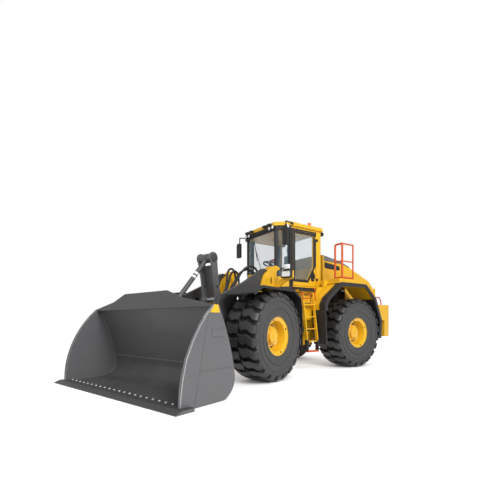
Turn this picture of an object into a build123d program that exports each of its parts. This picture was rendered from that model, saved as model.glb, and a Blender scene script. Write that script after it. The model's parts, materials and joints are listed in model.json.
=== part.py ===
import os
from math import atan2, cos, degrees, hypot, radians, sin, sqrt

from build123d import *

# Wheel loader, mm. While it is drawn, X runs forward along the straight machine, Y to its left and
# Z up from the ground, with the steering hinge at X = 0, Y = 0. The front half is turned to the
# left at the end, and the whole is moved so that the origin lies under the middle of its box.

wheelbase = 3700
front_axle_x = wheelbase / 2
rear_axle_x = -wheelbase / 2
track = 2400
steer_at_rest = 17

tyre_radius = 915
tyre_width = 760
lug_count = 15
lug_height = 68
lug_length = 114
lug_lead = 22
rim_radius = 407
bead_width = 570
spindle_radius = 150
running_fit = 0.08

frame_half_width = 440
hinge_spread = 640
hinge_pin_radius = 70

boom_pivot = (front_axle_x - 750, 2250)
bucket_pin = (front_axle_x + 1460, 450)
bellcrank_pin = (front_axle_x + 350, 1700)
bellcrank_arm = 900
bellcrank_lean = 80.6
tilt_arm = 200
tilt_arm_lean = -81.4
lift_foot = (front_axle_x - 950, 1330)
lift_eye = (front_axle_x + 30, 1610)
arm_inner = track / 2 - 600
arm_outer = arm_inner + 90
tower_gap = 15
tower_plate = 40

bucket_width = 3480
bucket_side = 30
bucket_sheet = 32
edge_width = 3680
bucket_reach = 1450
edge_reach = bucket_pin[0] + bucket_reach
edge_back = edge_reach - 330
edge_thick = 50

cab_half_width = 860
cab_floor = 2010
cab_rear = -1120
cab_front = 250
cab_roof = 3640
roof_thick = 105
door_rear = -960
door_front = -120
glass_thick = 12

hood_front = -1300
hood_rear = rear_axle_x - 1850
hood_half_width = 790
rear_reach = wheelbase / 2 + 2200

steer_foot = (-820, 680)
steer_eye = (600, 400)
steer_z = 1000
steer_limit = 37

axle_z = tyre_radius
pad_z = axle_z + 225


def direction(angle, length=1):
    return length * cos(radians(angle)), length * sin(radians(angle))


def shifted(point, step):
    return point[0] + step[0], point[1] + step[1]


def span(start, end):
    return hypot(end[0] - start[0], end[1] - start[1])


def along(start, end, distance):
    run = span(start, end)
    return tuple(a + (b - a) * distance / run for a, b in zip(start, end))


bellcrank_top = shifted(bellcrank_pin, direction(bellcrank_lean, bellcrank_arm))
bucket_link_pin = shifted(bucket_pin, direction(bellcrank_lean, bellcrank_arm))
tilt_eye = shifted(bellcrank_pin, direction(tilt_arm_lean, tilt_arm))
tilt_foot = shifted(boom_pivot, direction(tilt_arm_lean, tilt_arm))


def standing(face, y_low, y_high):
    # a plate standing on edge, from a face drawn in x and z
    return extrude(Plane.XZ.offset(-y_high) * face, amount=y_high - y_low, dir=(0, -1, 0))


def outline(points, radius=0):
    # a closed outline, with its corners rounded where a radius is given
    if radius:
        return make_face(FilletPolyline(*points, radius=radius, close=True))
    return make_face(Polyline(*points, close=True))


def slab(points, y_low, y_high, radius=0):
    return standing(outline(points, radius), y_low, y_high)


def prism(points, z_low, z_high, radius=0):
    return extrude(Plane.XY.offset(z_low) * outline(points, radius), amount=z_high - z_low, dir=(0, 0, 1))


def crosswise(points, x_low, x_high, radius=0):
    # a plate across the machine, its outline given in y and z
    return extrude(Plane.YZ.offset(x_low) * outline(points, radius), amount=x_high - x_low, dir=(1, 0, 0))


def sheet(points, thickness, y_low, y_high, radius):
    # a bent sheet, thickened to the left of its line
    line = FilletPolyline(*points, radius=radius)
    return standing(make_face(offset(line, thickness, side=Side.LEFT)), y_low, y_high)


def hull(circles, y_low, y_high):
    # the plate that just wraps a few circles
    edges = [edge for point, radius in circles for edge in (Pos(*point) * Circle(radius)).edges()]
    return standing(make_hull(edges), y_low, y_high)


def block(x, y, z):
    # a box from three pairs of low and high
    size = Box(x[1] - x[0], y[1] - y[0], z[1] - z[0])
    return Pos((x[0] + x[1]) / 2, (y[0] + y[1]) / 2, (z[0] + z[1]) / 2) * size


def bar(start, end, radius):
    # a round bar between two points
    way = Vector(*end) - Vector(*start)
    lying = Plane(origin=start, z_dir=way)
    return lying * Cylinder(radius, way.length, align=(Align.CENTER, Align.CENTER, Align.MIN))


def boss(point, radius, y_low, y_high):
    # a round boss across the machine
    return bar((point[0], y_low, point[1]), (point[0], y_high, point[1]), radius)


def rail(points, radius):
    # a bent tube with rounded corners
    tube = bar(points[0], points[1], radius)
    for start, end in zip(points[1:], points[2:]):
        tube += Pos(*start) * Sphere(radius)
        tube += bar(start, end, radius)
    return tube


def turned(points):
    # a ring or a disc about the Y axis, its section given in radius and y
    return revolve(Plane.XY * outline(points), axis=Axis.Y)


def both(shape):
    return shape + mirror(shape, about=Plane.XZ)


parts = {}
front = set()

# wheels: a flat-sided carcass with two staggered rows of lugs, and a deep-dished rim


def faceted(rings, closed):
    # a solid with flat sides between rings of as many points, ended by flat caps or closed on itself
    pairs = list(zip(rings, rings[1:] + rings[:1] if closed else rings[1:]))
    loops = [(a[i - 1], a[i], b[i], b[i - 1]) for a, b in pairs for i in range(len(a))]
    if not closed:
        loops += [rings[0], rings[-1]]
    return Part() + Solid(Shell([Face(Wire.make_polygon([Vector(*point) for point in loop])) for loop in loops]))


lug_reach = lug_length / 2 + lug_lead * 0.75
lug_top = sqrt(tyre_radius ** 2 - lug_reach ** 2)


def lug(side):
    # slanting over the tread, then falling over the shoulder
    half = tyre_width / 2
    rings = []
    stations = ((12, -0.75, lug_top, 110), (half - 95, 0.25, lug_top, 110), (half, 0.75, tyre_radius - 85, 120))
    for y, lead, high, depth in stations:
        ends = (lead * lug_lead - lug_length / 2, lead * lug_lead + lug_length / 2)
        corners = [(ends[0], high), (ends[1], high), (ends[1], high - depth), (ends[0], high - depth)]
        rings.append([(x, side * y, z) for x, z in corners])
    return faceted(rings, closed=False)


def tyre():
    half = tyre_width / 2
    bead = bead_width / 2
    tread = tyre_radius - lug_height
    belly = rim_radius + 290
    turns = [(i + 0.5) * 180 / lug_count for i in range(2 * lug_count)]
    section = [(rim_radius / cos(radians(90 / lug_count)), bead), (rim_radius + 40, bead), (belly, half), (tread, half - 130)]
    section += [(r, -y) for r, y in section[::-1]]
    shape = faceted([[(r * cos(radians(t)), y, r * sin(radians(t))) for t in turns] for r, y in section], closed=True)
    pitch = 360 / lug_count
    lugs = [Rot(0, (i + side / 4 + 0.75) * pitch, 0) * lug(side) for i in range(lug_count) for side in (-1, 1)]
    # turned so that a lug's corner stands on the ground
    return Rot(0, degrees(atan2(lug_reach, lug_top)), 0) * (shape + lugs)


def rim():
    bead = bead_width / 2
    lip = rim_radius + 33
    well = rim_radius - 24
    dish = rim_radius - 120
    bore = spindle_radius + running_fit
    inside = [(rim_radius, -bead), (lip, -bead), (lip, -bead - 26), (well, -bead - 26), (well, 10), (dish, 40)]
    hub = [(bore, 40), (bore, 150), (bore + 55, 150), (bore + 75, 95), (dish - 15, 95), (dish, 112)]
    outside = [(dish + 30, bead - 10), (lip - 14, bead + 26), (lip, bead + 16), (lip, bead), (rim_radius, bead)]
    return turned(inside + hub + outside)


def axle(x):
    # differential, tubes, brake housings and the two spindles, with a flat pad over each tube
    end = track / 2 + 185
    half = [(300, 0), (300, 160), (185, 430), (185, end - 625), (300, end - 585), (300, end - 385)]
    half += [(250, end - 335), (250, end - 225), (spindle_radius, end - 225), (spindle_radius, end - 18)]
    half += [(spindle_radius - 18, end), (0, end)]
    shape = turned([(0, -end)] + [(r, -y) for r, y in half[-2:0:-1]] + half)
    for side in (-1, 1):
        centre = side * 560
        shape += block((-190, 190), (centre - 90, centre + 90), (0, 225))
    return Pos(x, 0, axle_z) * shape


corners = {"front_left": (front_axle_x, 1), "front_right": (front_axle_x, -1)}
corners.update({"rear_left": (rear_axle_x, 1), "rear_right": (rear_axle_x, -1)})
tyre_shape = tyre()
rim_shape = rim()
for corner, (x, side) in corners.items():
    place = Pos(x, side * track / 2, axle_z) * Rot(0, 0, 0 if side > 0 else 180)
    parts["tyre_" + corner] = place * tyre_shape
    parts["rim_" + corner] = place * rim_shape
    if x > 0:
        front.update(("tyre_" + corner, "rim_" + corner))

parts["front_axle"] = axle(front_axle_x)
parts["rear_axle"] = axle(rear_axle_x)
front.add("front_axle")

# front frame: spine over the axle, hinge lugs behind, and the tower with its boom pivots

hinge_levels = (600, 600 + hinge_spread)


def hinge_lug(x_far, z):
    low, high = sorted((0, x_far))
    return block((low, high), (-160, 160), (z, z + 70)) + Pos(0, 0, z + 35) * Cylinder(160, 70)


def steering_ears(point, y_inner):
    # the two flat ears that hold one end of a steering cylinder
    ears = []
    for z in (steer_z - 75, steer_z + 55):
        ears.append(block((point[0] - 60, point[0] + 60), (y_inner, point[1]), (z, z + 20)))
        ears.append(Pos(point[0], point[1], z + 10) * Cylinder(60, 20))
    return ears


arch_low = front_axle_x - 350
arch_high = front_axle_x + 350
spine_line = [(440, 600), (front_axle_x - 950, 600), (front_axle_x - 850, pad_z), (arch_low, pad_z), (arch_low, pad_z + 95)]
spine_line += [(arch_high, pad_z + 95), (arch_high, pad_z), (arch_high + 40, pad_z), (arch_high + 40, pad_z + 150)]
spine_line += [(front_axle_x - 110, pad_z + 310), (440, pad_z + 310)]
spine_half = arm_inner - 300
spine = slab(spine_line, -spine_half, spine_half)
deck = block((front_axle_x - 1010, front_axle_x - 70), (-arm_outer - 55, arm_outer + 55), (pad_z, pad_z + 70))
spine += deck - Pos(front_axle_x, 0, axle_z) * Box(700, 700, 640)
for z in hinge_levels:
    spine += hinge_lug(480, z)
for z in hinge_levels:
    spine -= Pos(0, 0, z + 35) * Cylinder(hinge_pin_radius + running_fit, 80)
inner_low = arm_inner - tower_gap - tower_plate
outer_low = arm_outer + tower_gap
held = hull([((lift_foot[0], pad_z + 125), 110), (lift_foot, 75)], spine_half, spine_half + 40)
held += boss(lift_foot, 45, spine_half, inner_low)
held += steering_ears(steer_eye, spine_half - 10)
parts["front_frame"] = spine + both(held)

tower_steps = [(140, 40), (-170, 250), (-340, 315), (-525, 285), (-440, -70), (-340, -350)]
tower_line = [(boom_pivot[0] - 320, pad_z + 70), (front_axle_x - 90, pad_z + 70), (front_axle_x - 90, pad_z + 190)]
tower_line += [(boom_pivot[0] + 290, 1930)] + [shifted(boom_pivot, step) for step in tower_steps]
tower_rounds = [5, 30, 40, 300, 220, 150, 70, 25, 40, 200]
arm_out = outer_low + tower_plate
tower = boss(boom_pivot, 75, inner_low - 15, arm_out + 15) + boss(boom_pivot, 100, arm_out, arm_out + 8)
for low in (inner_low, outer_low):
    tower += slab(tower_line, low, low + tower_plate, tower_rounds) - boss(shifted(boom_pivot, (-490, 125)), 105, low - 5, low + tower_plate + 5)
tower -= hull([(shifted(boom_pivot, (-140, -20)), 38), (shifted(boom_pivot, (-155, -120)), 38)], outer_low - 5, arm_out + 5)
lamp_arm = [(arm_out - 5, 1990), (arm_out - 5, 2120), (arm_out + 215, 2225), (arm_out + 225, 2405), (arm_out + 495, 2405)]
lamp_arm += [(arm_out + 495, 2225), (arm_out + 270, 2140), (arm_out + 110, 2030)]
tower += crosswise(lamp_arm, boom_pivot[0] - 350, boom_pivot[0] - 290, radius=22)
parts["towers"] = both(tower)

bracket = block((boom_pivot[0] - 220, boom_pivot[0] - 90), (-inner_low, inner_low), (1840, 2010))
ear_line = [shifted(boom_pivot, step) for step in ((-100, -240), (-200, -350), (-90, -400))]
ear = slab(ear_line + [shifted(tilt_foot, (0, -95)), shifted(tilt_foot, (0, 95))], 110, 150)
ear += boss(tilt_foot, 95, 110, 150)
ear -= boss(tilt_foot, 55 + running_fit, 100, 160)
parts["tilt_bracket"] = bracket + ear + mirror(ear, about=Plane.XZ)

# front fenders with their flaps, and the headlamps

fender_top = 2 * tyre_radius + 65
wheel_front = front_axle_x + tyre_radius
wheel_back = front_axle_x - tyre_radius
fender_line = [(wheel_front - 65, fender_top - 160), (wheel_front - 335, fender_top), (wheel_back + 315, fender_top)]
fender_line += [(wheel_back + 25, fender_top - 150), (wheel_back - 35, 1450), (wheel_back - 35, 560)]
fender_inner = track / 2 - tyre_width / 2 + 10
fender_outer = track / 2 + tyre_width / 2 - 30
fender = sheet(fender_line, 12, fender_inner, fender_outer, 90)
fender += sheet(fender_line[:4], 50, fender_outer - 14, fender_outer, 90)
fender += block((front_axle_x - 800, front_axle_x - 520), (arm_out, fender_inner + 5), (fender_top - 35, fender_top))
parts["front_fenders"] = both(fender)
lamp_line = [(arm_out + 235, 2244), (arm_out + 485, 2244), (arm_out + 485, 2396), (arm_out + 235, 2396)]
lamp = crosswise(lamp_line, boom_pivot[0] - 290, boom_pivot[0] - 215, radius=40)
parts["headlamps"] = both(lamp)
front.update(("front_frame", "towers", "tilt_bracket", "front_fenders", "headlamps"))

# boom: two arms, the cross tube between them and the ears that carry the bellcrank

arm_line = [(-750, 2490), (30, 2070), (790, 1735), (940, 1460), (1550, 520), (1360, 350), (710, 1080)]
arm_line += [(430, 1110), (50, 1440), (-920, 2120)]
arm_line = [(front_axle_x + x, z) for x, z in arm_line]
arm_rounds = [110, 900, 170, 300, 80, 80, 160, 200, 500, 120]
cross_tube = (front_axle_x + 583, 1211)
arm = slab(arm_line, arm_inner, arm_outer, arm_rounds)
for centre, radius in ((boom_pivot, 190), (bucket_pin, 117), (cross_tube, 150)):
    arm += boss(centre, radius, arm_inner, arm_outer)
arm += boss(lift_eye, 80, arm_inner - 115, arm_inner)
for centre, radius in (((front_axle_x + 230, 1700), 75), (boom_pivot, 75 + running_fit), (bucket_pin, 60 + running_fit)):
    arm -= boss(centre, radius, arm_inner - 5, arm_outer + 5)
parts["boom_arms"] = both(arm)
ear = slab([shifted(cross_tube, (-100, 0)), shifted(cross_tube, (90, 40)), shifted(bellcrank_pin, (85, 40)),
            shifted(bellcrank_pin, (-85, -40))], 220, 260)
ear += boss(bellcrank_pin, 95, 220, 260)
ear -= boss(bellcrank_pin, 50 + running_fit, 210, 270)
parts["cross_tube"] = boss(cross_tube, 100, -arm_inner, arm_inner) + ear + mirror(ear, about=Plane.XZ)

ear_inner = arm_inner - 70
ear_outer = arm_outer + 20
parts["bucket_pins"] = both(boss(bucket_pin, 60, ear_inner - 5, ear_outer + 55))
parts["bellcrank_pin"] = boss(bellcrank_pin, 50, -270, 270)
parts["link_pin"] = boss(bellcrank_top, 50, -215, 215)
parts["tilt_foot_pin"] = boss(tilt_foot, 55, -160, 160)

# bellcrank: two waisted plates with round ends, joined by a web along their rear edges


def crank_point(distance, aside):
    # along the long arm from its pin, and to its front
    lean = direction(bellcrank_lean)
    point = shifted(bellcrank_pin, direction(bellcrank_lean, distance))
    return shifted(point, (lean[1] * aside, -lean[0] * aside))


def crank_edge(sign):
    return ThreePointArc(crank_point(0, sign * 98), crank_point(bellcrank_arm * 0.55, sign * 78),
                         crank_point(bellcrank_arm, sign * 105))


waist = make_face(Curve() + [crank_edge(-1), crank_edge(1), Line(crank_edge(-1) @ 0, crank_edge(1) @ 0),
                             Line(crank_edge(-1) @ 1, crank_edge(1) @ 1)])
plate = standing(waist, 165, 205) + boss(bellcrank_pin, 110, 165, 205) + boss(bellcrank_top, 120, 165, 205)
plate += hull([(bellcrank_pin, 105), (tilt_eye, 90)], 165, 205)
plate += boss(bellcrank_top, 85, 60, 165) + boss(tilt_eye, 60, 65, 165)
plate -= boss(bellcrank_pin, 50 + running_fit, 155, 215)
plate -= boss(bellcrank_top, 50 + running_fit, 50, 215)
plate -= boss(crank_point(bellcrank_arm * 0.3, 0), 34, 155, 215)
web = [crank_point(330, -80), crank_point(330, -50), crank_point(750, -50), crank_point(750, -80)]
parts["bellcrank"] = slab(web, -165, 165) + plate + mirror(plate, about=Plane.XZ)

link = bar((bellcrank_top[0], 0, bellcrank_top[1]), (bucket_link_pin[0], 0, bucket_link_pin[1]), 50)
link += boss(bellcrank_top, 100, -55, 55) + boss(bucket_link_pin, 95, -55, 55)
link -= boss(bellcrank_top, 50 + running_fit, -60, 60) + boss(bucket_link_pin, 45 + running_fit, -60, 60)
parts["bucket_link"] = link

# bucket: rolled sheet with its ears, two side plates, spill guard and bolted cutting edge

heel = (bucket_pin[0] + bucket_reach * 0.338, 8)
knee = (bucket_pin[0] + 165, 400)
crown = (bucket_pin[0] + bucket_reach * 0.3724, 1470)


def rolled(floor_end, heel, knee, crown):
    # the floor and the rolled back, each stretch running smoothly into the next
    first = TangentArc(heel, knee, tangent=(-1, 0))
    return [Line(floor_end, heel), first, TangentArc(knee, crown, tangent=first % 1)]


def inward(curve, at):
    step = curve % at
    point = curve @ at
    return point.X + step.Y * bucket_sheet, point.Y - step.X * bucket_sheet


outer_roll = rolled((edge_back, heel[1]), heel, knee, crown)
inner_crown = inward(outer_roll[2], 1)
inner_floor = heel[1] + bucket_sheet
inner_roll = rolled((edge_back, inner_floor), (heel[0], inner_floor), inward(outer_roll[1], 1), inner_crown)
half_inside = bucket_width / 2 - bucket_side
rolled_sheet = make_face(Curve() + outer_roll + inner_roll + [Line(crown, inner_crown),
                                                              Line((edge_back, heel[1]), (edge_back, inner_floor))])
shell = standing(rolled_sheet, -half_inside, half_inside)
mouth = Polyline(inner_crown, (edge_reach, crown[1]), (edge_reach, inner_floor), (edge_back, inner_floor))
hollow = standing(make_face(Curve() + inner_roll + [mouth]), -half_inside, half_inside)
lip = crown[1] - 30
guard_x = edge_reach - 808
shell += block((crown[0] - 5, guard_x), (-half_inside, half_inside), (lip, lip + 35))
ears = []
for low in (ear_inner, ear_outer):
    reach = [shifted(bucket_pin, (-70, -90)), (heel[0] - 160, 60), (knee[0] + 120, 900), shifted(bucket_pin, (-60, 110))]
    ear = slab(reach, low, low + 45) + boss(bucket_pin, 115, low, low + 45)
    ears.append(ear - boss(bucket_pin, 60 + running_fit, low - 5, low + 50))
link_ear = slab([shifted(bucket_link_pin, (-90, -10)), (knee[0] + 120, 860), (knee[0] + 340, 1330),
                 shifted(bucket_link_pin, (10, 90))], 70, 115)
ears.append(link_ear + boss(bucket_link_pin, 95, 70, 115))
for ear in ears:
    shell += both(ear - hollow)
shell += boss(bucket_link_pin, 45, -125, 125)
guard = [(half_inside, crown[1]), (half_inside * 0.6, crown[1] + 130), (half_inside * 0.37, crown[1] + 270)]
shell += crosswise(guard + [(-y, z) for y, z in guard[::-1]], guard_x - 30, guard_x)
parts["bucket_shell"] = shell
cheek_front = Spline((guard_x, crown[1]), (edge_reach - 522, 1159), (edge_reach - 267, 699), (edge_reach - 154, edge_thick))
cheek_end = Polyline(cheek_front @ 1, (edge_back, edge_thick), (edge_back, heel[1]))
cheek = make_face(Curve() + outer_roll + [Line(crown, cheek_front @ 0), cheek_front, cheek_end])
parts["bucket_sides"] = both(standing(cheek, half_inside, bucket_width / 2))
edge = [(edge_back, 0), (edge_reach, 0), (edge_reach, 12), (edge_reach - 110, edge_thick), (edge_back, edge_thick)]
parts["cutting_edge"] = slab(edge, -edge_width / 2, edge_width / 2)

# cylinders


def barrel(foot, eye, radius, length, y, half_eye, pin_radius):
    # tube with its foot eye, a gland ring and an open mouth for the rod
    way = along(foot, eye, length)
    gland = along(foot, eye, length - 60)
    neck = along(foot, eye, pin_radius + 15)
    first = along(foot, eye, pin_radius + 85)
    tube = bar((first[0], y, first[1]), (way[0], y, way[1]), radius - 6)
    tube += bar((gland[0], y, gland[1]), (way[0], y, way[1]), radius)
    tube += bar((neck[0], y, neck[1]), (first[0], y, first[1]), half_eye * 0.8)
    tube += boss(foot, pin_radius + 45, y - half_eye, y + half_eye)
    tube -= boss(foot, pin_radius + running_fit, y - half_eye - 5, y + half_eye + 5)
    return tube


def rod(foot, eye, radius, start, y, half_eye, eye_radius):
    # polished rod ending in an eye
    first = along(foot, eye, start)
    shape = bar((first[0], y, first[1]), (eye[0], y, eye[1]), radius)
    shape += boss(eye, eye_radius, y - half_eye, y + half_eye)
    return shape


def cylinder(foot, eye, tube_radius, length, rod_radius, start, y, half_foot, half_eye, pin_radius, eye_radius):
    outer = barrel(foot, eye, tube_radius, length, y, half_foot, pin_radius)
    inner = rod(foot, eye, rod_radius, start, y, half_eye, eye_radius)
    first = along(foot, eye, pin_radius + 120)
    last = along(foot, eye, length + 5)
    outer -= bar((first[0], y, first[1]), (last[0], y, last[1]), rod_radius + running_fit)
    return outer, inner


lift_length = span(lift_foot, lift_eye) - 119
lift_barrel, lift_rod = cylinder(lift_foot, lift_eye, 90, lift_length, 45, 260, arm_inner - 165, 85, 45, 45, 85)
parts["lift_barrels"] = both(lift_barrel)
parts["lift_rods"] = both(lift_rod)
tilt_length = span(tilt_foot, tilt_eye) - 350
tilt_barrel, tilt_rod = cylinder(tilt_foot, tilt_eye, 130, tilt_length, 60, 300, 0, 100, 60, 55, 75)
parts["tilt_barrel"] = tilt_barrel
parts["tilt_rod"] = tilt_rod
front.update(("boom_arms", "cross_tube", "bucket_pins", "bellcrank_pin", "link_pin", "tilt_foot_pin"))
front.update(("bellcrank", "bucket_link", "bucket_shell", "bucket_sides", "cutting_edge"))
front.update(("lift_barrels", "lift_rods", "tilt_barrel", "tilt_rod"))

# steering cylinders, lying flat from the rear frame to the turned front frame


def steered(point, angle):
    turn = radians(angle)
    return point[0] * cos(turn) - point[1] * sin(turn), point[0] * sin(turn) + point[1] * cos(turn)


def lying_cylinder(foot, eye, closed):
    way = (eye[0] - foot[0], eye[1] - foot[1])
    reach = hypot(*way)
    length = closed - 110
    start = reach - closed + 170
    outer = bar((40, 0, 0), (100, 0, 0), 42) + bar((100, 0, 0), (length, 0, 0), 62) + Cylinder(65, 100)
    outer -= bar((150, 0, 0), (length + 5, 0, 0), 32 + running_fit)
    outer -= Cylinder(35 + running_fit, 110)
    inner = bar((start, 0, 0), (reach, 0, 0), 32) + Pos(reach, 0, 0) * Cylinder(58, 100)
    place = Pos(foot[0], foot[1], steer_z) * Rot(0, 0, degrees(atan2(way[1], way[0])))
    return place * outer, place * inner


closed = span(steered(steer_eye, steer_limit), steer_foot)
for side, label in ((1, "left"), (-1, "right")):
    eye = steered((steer_eye[0], side * steer_eye[1]), steer_at_rest)
    outer, inner = lying_cylinder((steer_foot[0], side * steer_foot[1]), eye, closed)
    parts["steer_barrel_" + label] = outer
    parts["steer_rod_" + label] = inner

# rear frame: two long beams, hinge lugs, cross members and the ears of the steering cylinders

frame_end = 400 - rear_reach
frame_inner = frame_half_width - 40
beam_line = [(-520, 560), (rear_axle_x + 650, 560), (rear_axle_x + 450, pad_z), (rear_axle_x - 450, pad_z)]
beam_line += [(rear_axle_x - 650, 700), (frame_end, 700), (frame_end, 1450), (-520, 1450)]
chassis = both(slab(beam_line, frame_inner, frame_half_width))
chassis += block((-560, -480), (-frame_half_width, frame_half_width), (525, 1450))
chassis += block((rear_axle_x + 550, rear_axle_x + 630), (-frame_inner, frame_inner), (pad_z, 1400))
chassis += block((rear_axle_x - 710, rear_axle_x - 650), (-frame_inner, frame_inner), (700, 1400))
chassis += block((frame_end, frame_end + 60), (-frame_half_width, frame_half_width), (700, 1450))
chassis += block((rear_axle_x - 210, rear_axle_x + 210), (-650, 650), (pad_z, pad_z + 60))
chassis -= Pos(rear_axle_x, 0, axle_z) * Box(700, 700, 640)
for z in hinge_levels:
    chassis += hinge_lug(-500, z - 75) + hinge_lug(-500, z + 75)
for z in hinge_levels:
    chassis -= Pos(0, 0, z + 35) * Cylinder(hinge_pin_radius, 300)
held = bar((steer_foot[0], steer_foot[1], steer_z - 75), (steer_foot[0], steer_foot[1], steer_z + 75), 35)
held += steering_ears(steer_foot, frame_half_width - 10)
parts["rear_frame"] = chassis + both(held)
parts["hinge_pins"] = Part() + [Pos(0, 0, z + 35) * Cylinder(hinge_pin_radius, 240) for z in hinge_levels]

# engine with its sump, head cover and the cooler behind it

case = [(-150, 1400), (150, 1400), (300, 1560), (390, 1750), (390, 2080), (-390, 2080), (-390, 1750), (-300, 1560)]
engine = crosswise(case, rear_axle_x - 1050, rear_axle_x + 350, radius=40)
engine += crosswise([(-190, 2060), (190, 2060), (190, 2230), (-190, 2230)], rear_axle_x - 970, rear_axle_x + 250, radius=5)
engine += block((rear_axle_x - 1450, rear_axle_x - 1210), (-390, 390), (1400, 2200))
engine += bar((rear_axle_x - 1220, 0, 1850), (rear_axle_x - 1040, 0, 1850), 120)
parts["engine"] = engine

# counterweight and tow hitch with its pin bore

rear = -rear_reach
weight = slab([(frame_end, 760), (rear + 150, 760), (rear, 980), (rear, 1600), (rear + 90, 1720), (frame_end, 1720)], -1130, 1130)
wing = slab([(frame_end, 1250), (frame_end, 1720), (frame_end + 700, 1720), (frame_end + 620, 1250)], frame_half_width, 1130)
weight_plan = [(frame_end + 700, 1130), (rear, 1130), (rear, -1130), (frame_end + 700, -1130)]
weight = (weight + both(wing)) & prism(weight_plan, 700, 1800, radius=[8, 240, 240, 8])
parts["counterweight"] = weight - block((rear - 10, rear + 160), (-150, 150), (750, 1400))
hitch = block((rear + 130, rear + 160), (-140, 140), (800, 1100))
for z in (830, 1010):
    hitch += block((rear + 50, rear + 140), (-110, 110), (z, z + 50)) + Pos(rear + 50, 0, z + 25) * Cylinder(60, 50)
parts["tow_hitch"] = hitch - Pos(rear + 50, 0, 950) * Cylinder(25, 400)

# rear fenders with a deep lip and a flap, side panels, ladders with their platforms, handrails

arch = [(rear_axle_x - 960, 740), (rear_axle_x - 1000, 1240), (rear_axle_x - 730, 1840), (rear_axle_x - 290, 2200)]
arch += [(rear_axle_x + 680, 2200), (rear_axle_x + 1210, 1800), (rear_axle_x + 1305, 1640), (rear_axle_x + 1305, 1480)]
fender = sheet(arch[::-1], 14, cab_half_width + 6, 1560, 60)
fender += sheet(arch[::-1], 60, 1542, 1560, 60)
box_rear = rear_axle_x + 1305
fender += slab([(box_rear, 1490), (box_rear - 12, 1490), (box_rear - 64, 640), (box_rear - 52, 640)], 1130, 1540)
parts["rear_fenders"] = both(fender)
side_box = slab([(box_rear, 1250), (-150, 1250), (-150, 1945), (box_rear, 1945)], frame_half_width, 1060, radius=45)
deck_top = 2320
deck_front = rear_axle_x + 720
panel = [(-150, 1250), (box_rear, 1250), (box_rear, 1640), (box_rear - 60, 1790), (deck_front, 2190), (deck_front, deck_top)]
panel += [(deck_front + 120, deck_top), (deck_front + 145, 2100), (-760, 2100), (-720, 1945), (-150, 1945)]
side_box += slab(panel, 1050, 1100) + bar((-350, 650, 1945), (-350, 650, cab_floor), 60)
deck = [(deck_front, 2200), (rear_axle_x - 270, 2200), (rear_axle_x - 300, 2250), (rear_axle_x - 250, deck_top)]
side_box += slab(deck + [(deck_front, deck_top)], cab_half_width + 12, 1500)
parts["side_boxes"] = both(side_box)
platform = prism([(-40, cab_half_width), (-40, 1200), (-520, 1200), (-520, cab_half_width)], 1945, 2005, radius=[5, 60, 60, 5])
for x in (-515, -160):
    platform += crosswise([(1160, 1950), (1195, 1950), (1365, 700), (1275, 700)], x, x + 30)
for z in (720, 1020, 1320, 1620):
    y = 1195 + (1950 - z) * 0.136
    platform += block((-515, -130), (y - 85, y), (z, z + 25))
platform += block((-505, -140), (1285, 1375), (470, 500))
for x in (-500, -157):
    platform += block((x, x + 12), (1310, 1350), (490, 730))
parts["ladders"] = both(platform)
posts = rail([(-1270, 1470, deck_top), (-1270, 1470, 3230), (-1700, 1470, 3230), (-1700, 1470, deck_top)], 20)
posts += bar((-1270, 1470, 2780), (-1700, 1470, 2780), 16)
parts["handrails"] = both(posts)

# cowl behind the cab, engine cover, exhaust and air intake

hinge_rear = (hood_rear + 140, 2268)
hood_edge = 25
parts["cowl"] = block((hood_front + 5, cab_rear), (-hood_half_width, hood_half_width), (1450, 2230))
panel = block((hood_rear, hood_rear + 1450), (hood_half_width - hood_edge, hood_half_width), (1720, 2250))
for i in range(6):
    x = hood_rear + 220 + i * 70
    panel -= slab([(x, 1850), (x + 36, 1850), (x + 36, 2140), (x, 2140)], hood_half_width - 30, hood_half_width + 5, radius=17)
parts["engine_sides"] = both(panel)
inner_half = hood_half_width - hood_edge
grille = block((hood_rear, hood_rear + 25), (-inner_half, inner_half), (1720, 2250))
grille += crosswise([(-650, 1800), (650, 1800), (650, 2200), (-650, 2200)], hood_rear - 30, hood_rear, radius=30)
for i in range(7):
    z = 1845 + i * 48
    grille -= block((hood_rear - 40, hood_rear - 8), (-610, 610), (z, z + 26))
grille += block((hood_rear, hood_rear + 170), (-inner_half, inner_half), (2225, 2250))
stack_x = cab_rear - 90
stack = bar((stack_x, 715, 2230), (stack_x, 715, cab_roof - 160), 32) + bar((stack_x, 715, 2230), (stack_x, 715, 2640), 48)
cap_z = cab_roof - 490
intake = bar((stack_x, -420, 2230), (stack_x, -420, cap_z - 90), 60) + bar((stack_x, -420, cap_z - 110), (stack_x, -420, cap_z), 84)
parts["exhaust"] = stack + intake

# hood, hinged along its rear edge


def hood_shell(inset):
    run = hood_rear - hood_front
    line = [(hood_front - inset, 2260 - inset / 2), (hood_front - inset, 3060 - inset), (hood_front + 0.31 * run, 2950 - inset)]
    line += [(hood_front + 0.48 * run, 2810 - inset), (hood_rear + 320, 2470 - inset), (hood_rear + 170 + inset, 2330)]
    line += [(hood_rear + 160 + inset, 2260 - inset / 2)]
    return slab(line, inset - hood_half_width, hood_half_width - inset)


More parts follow.
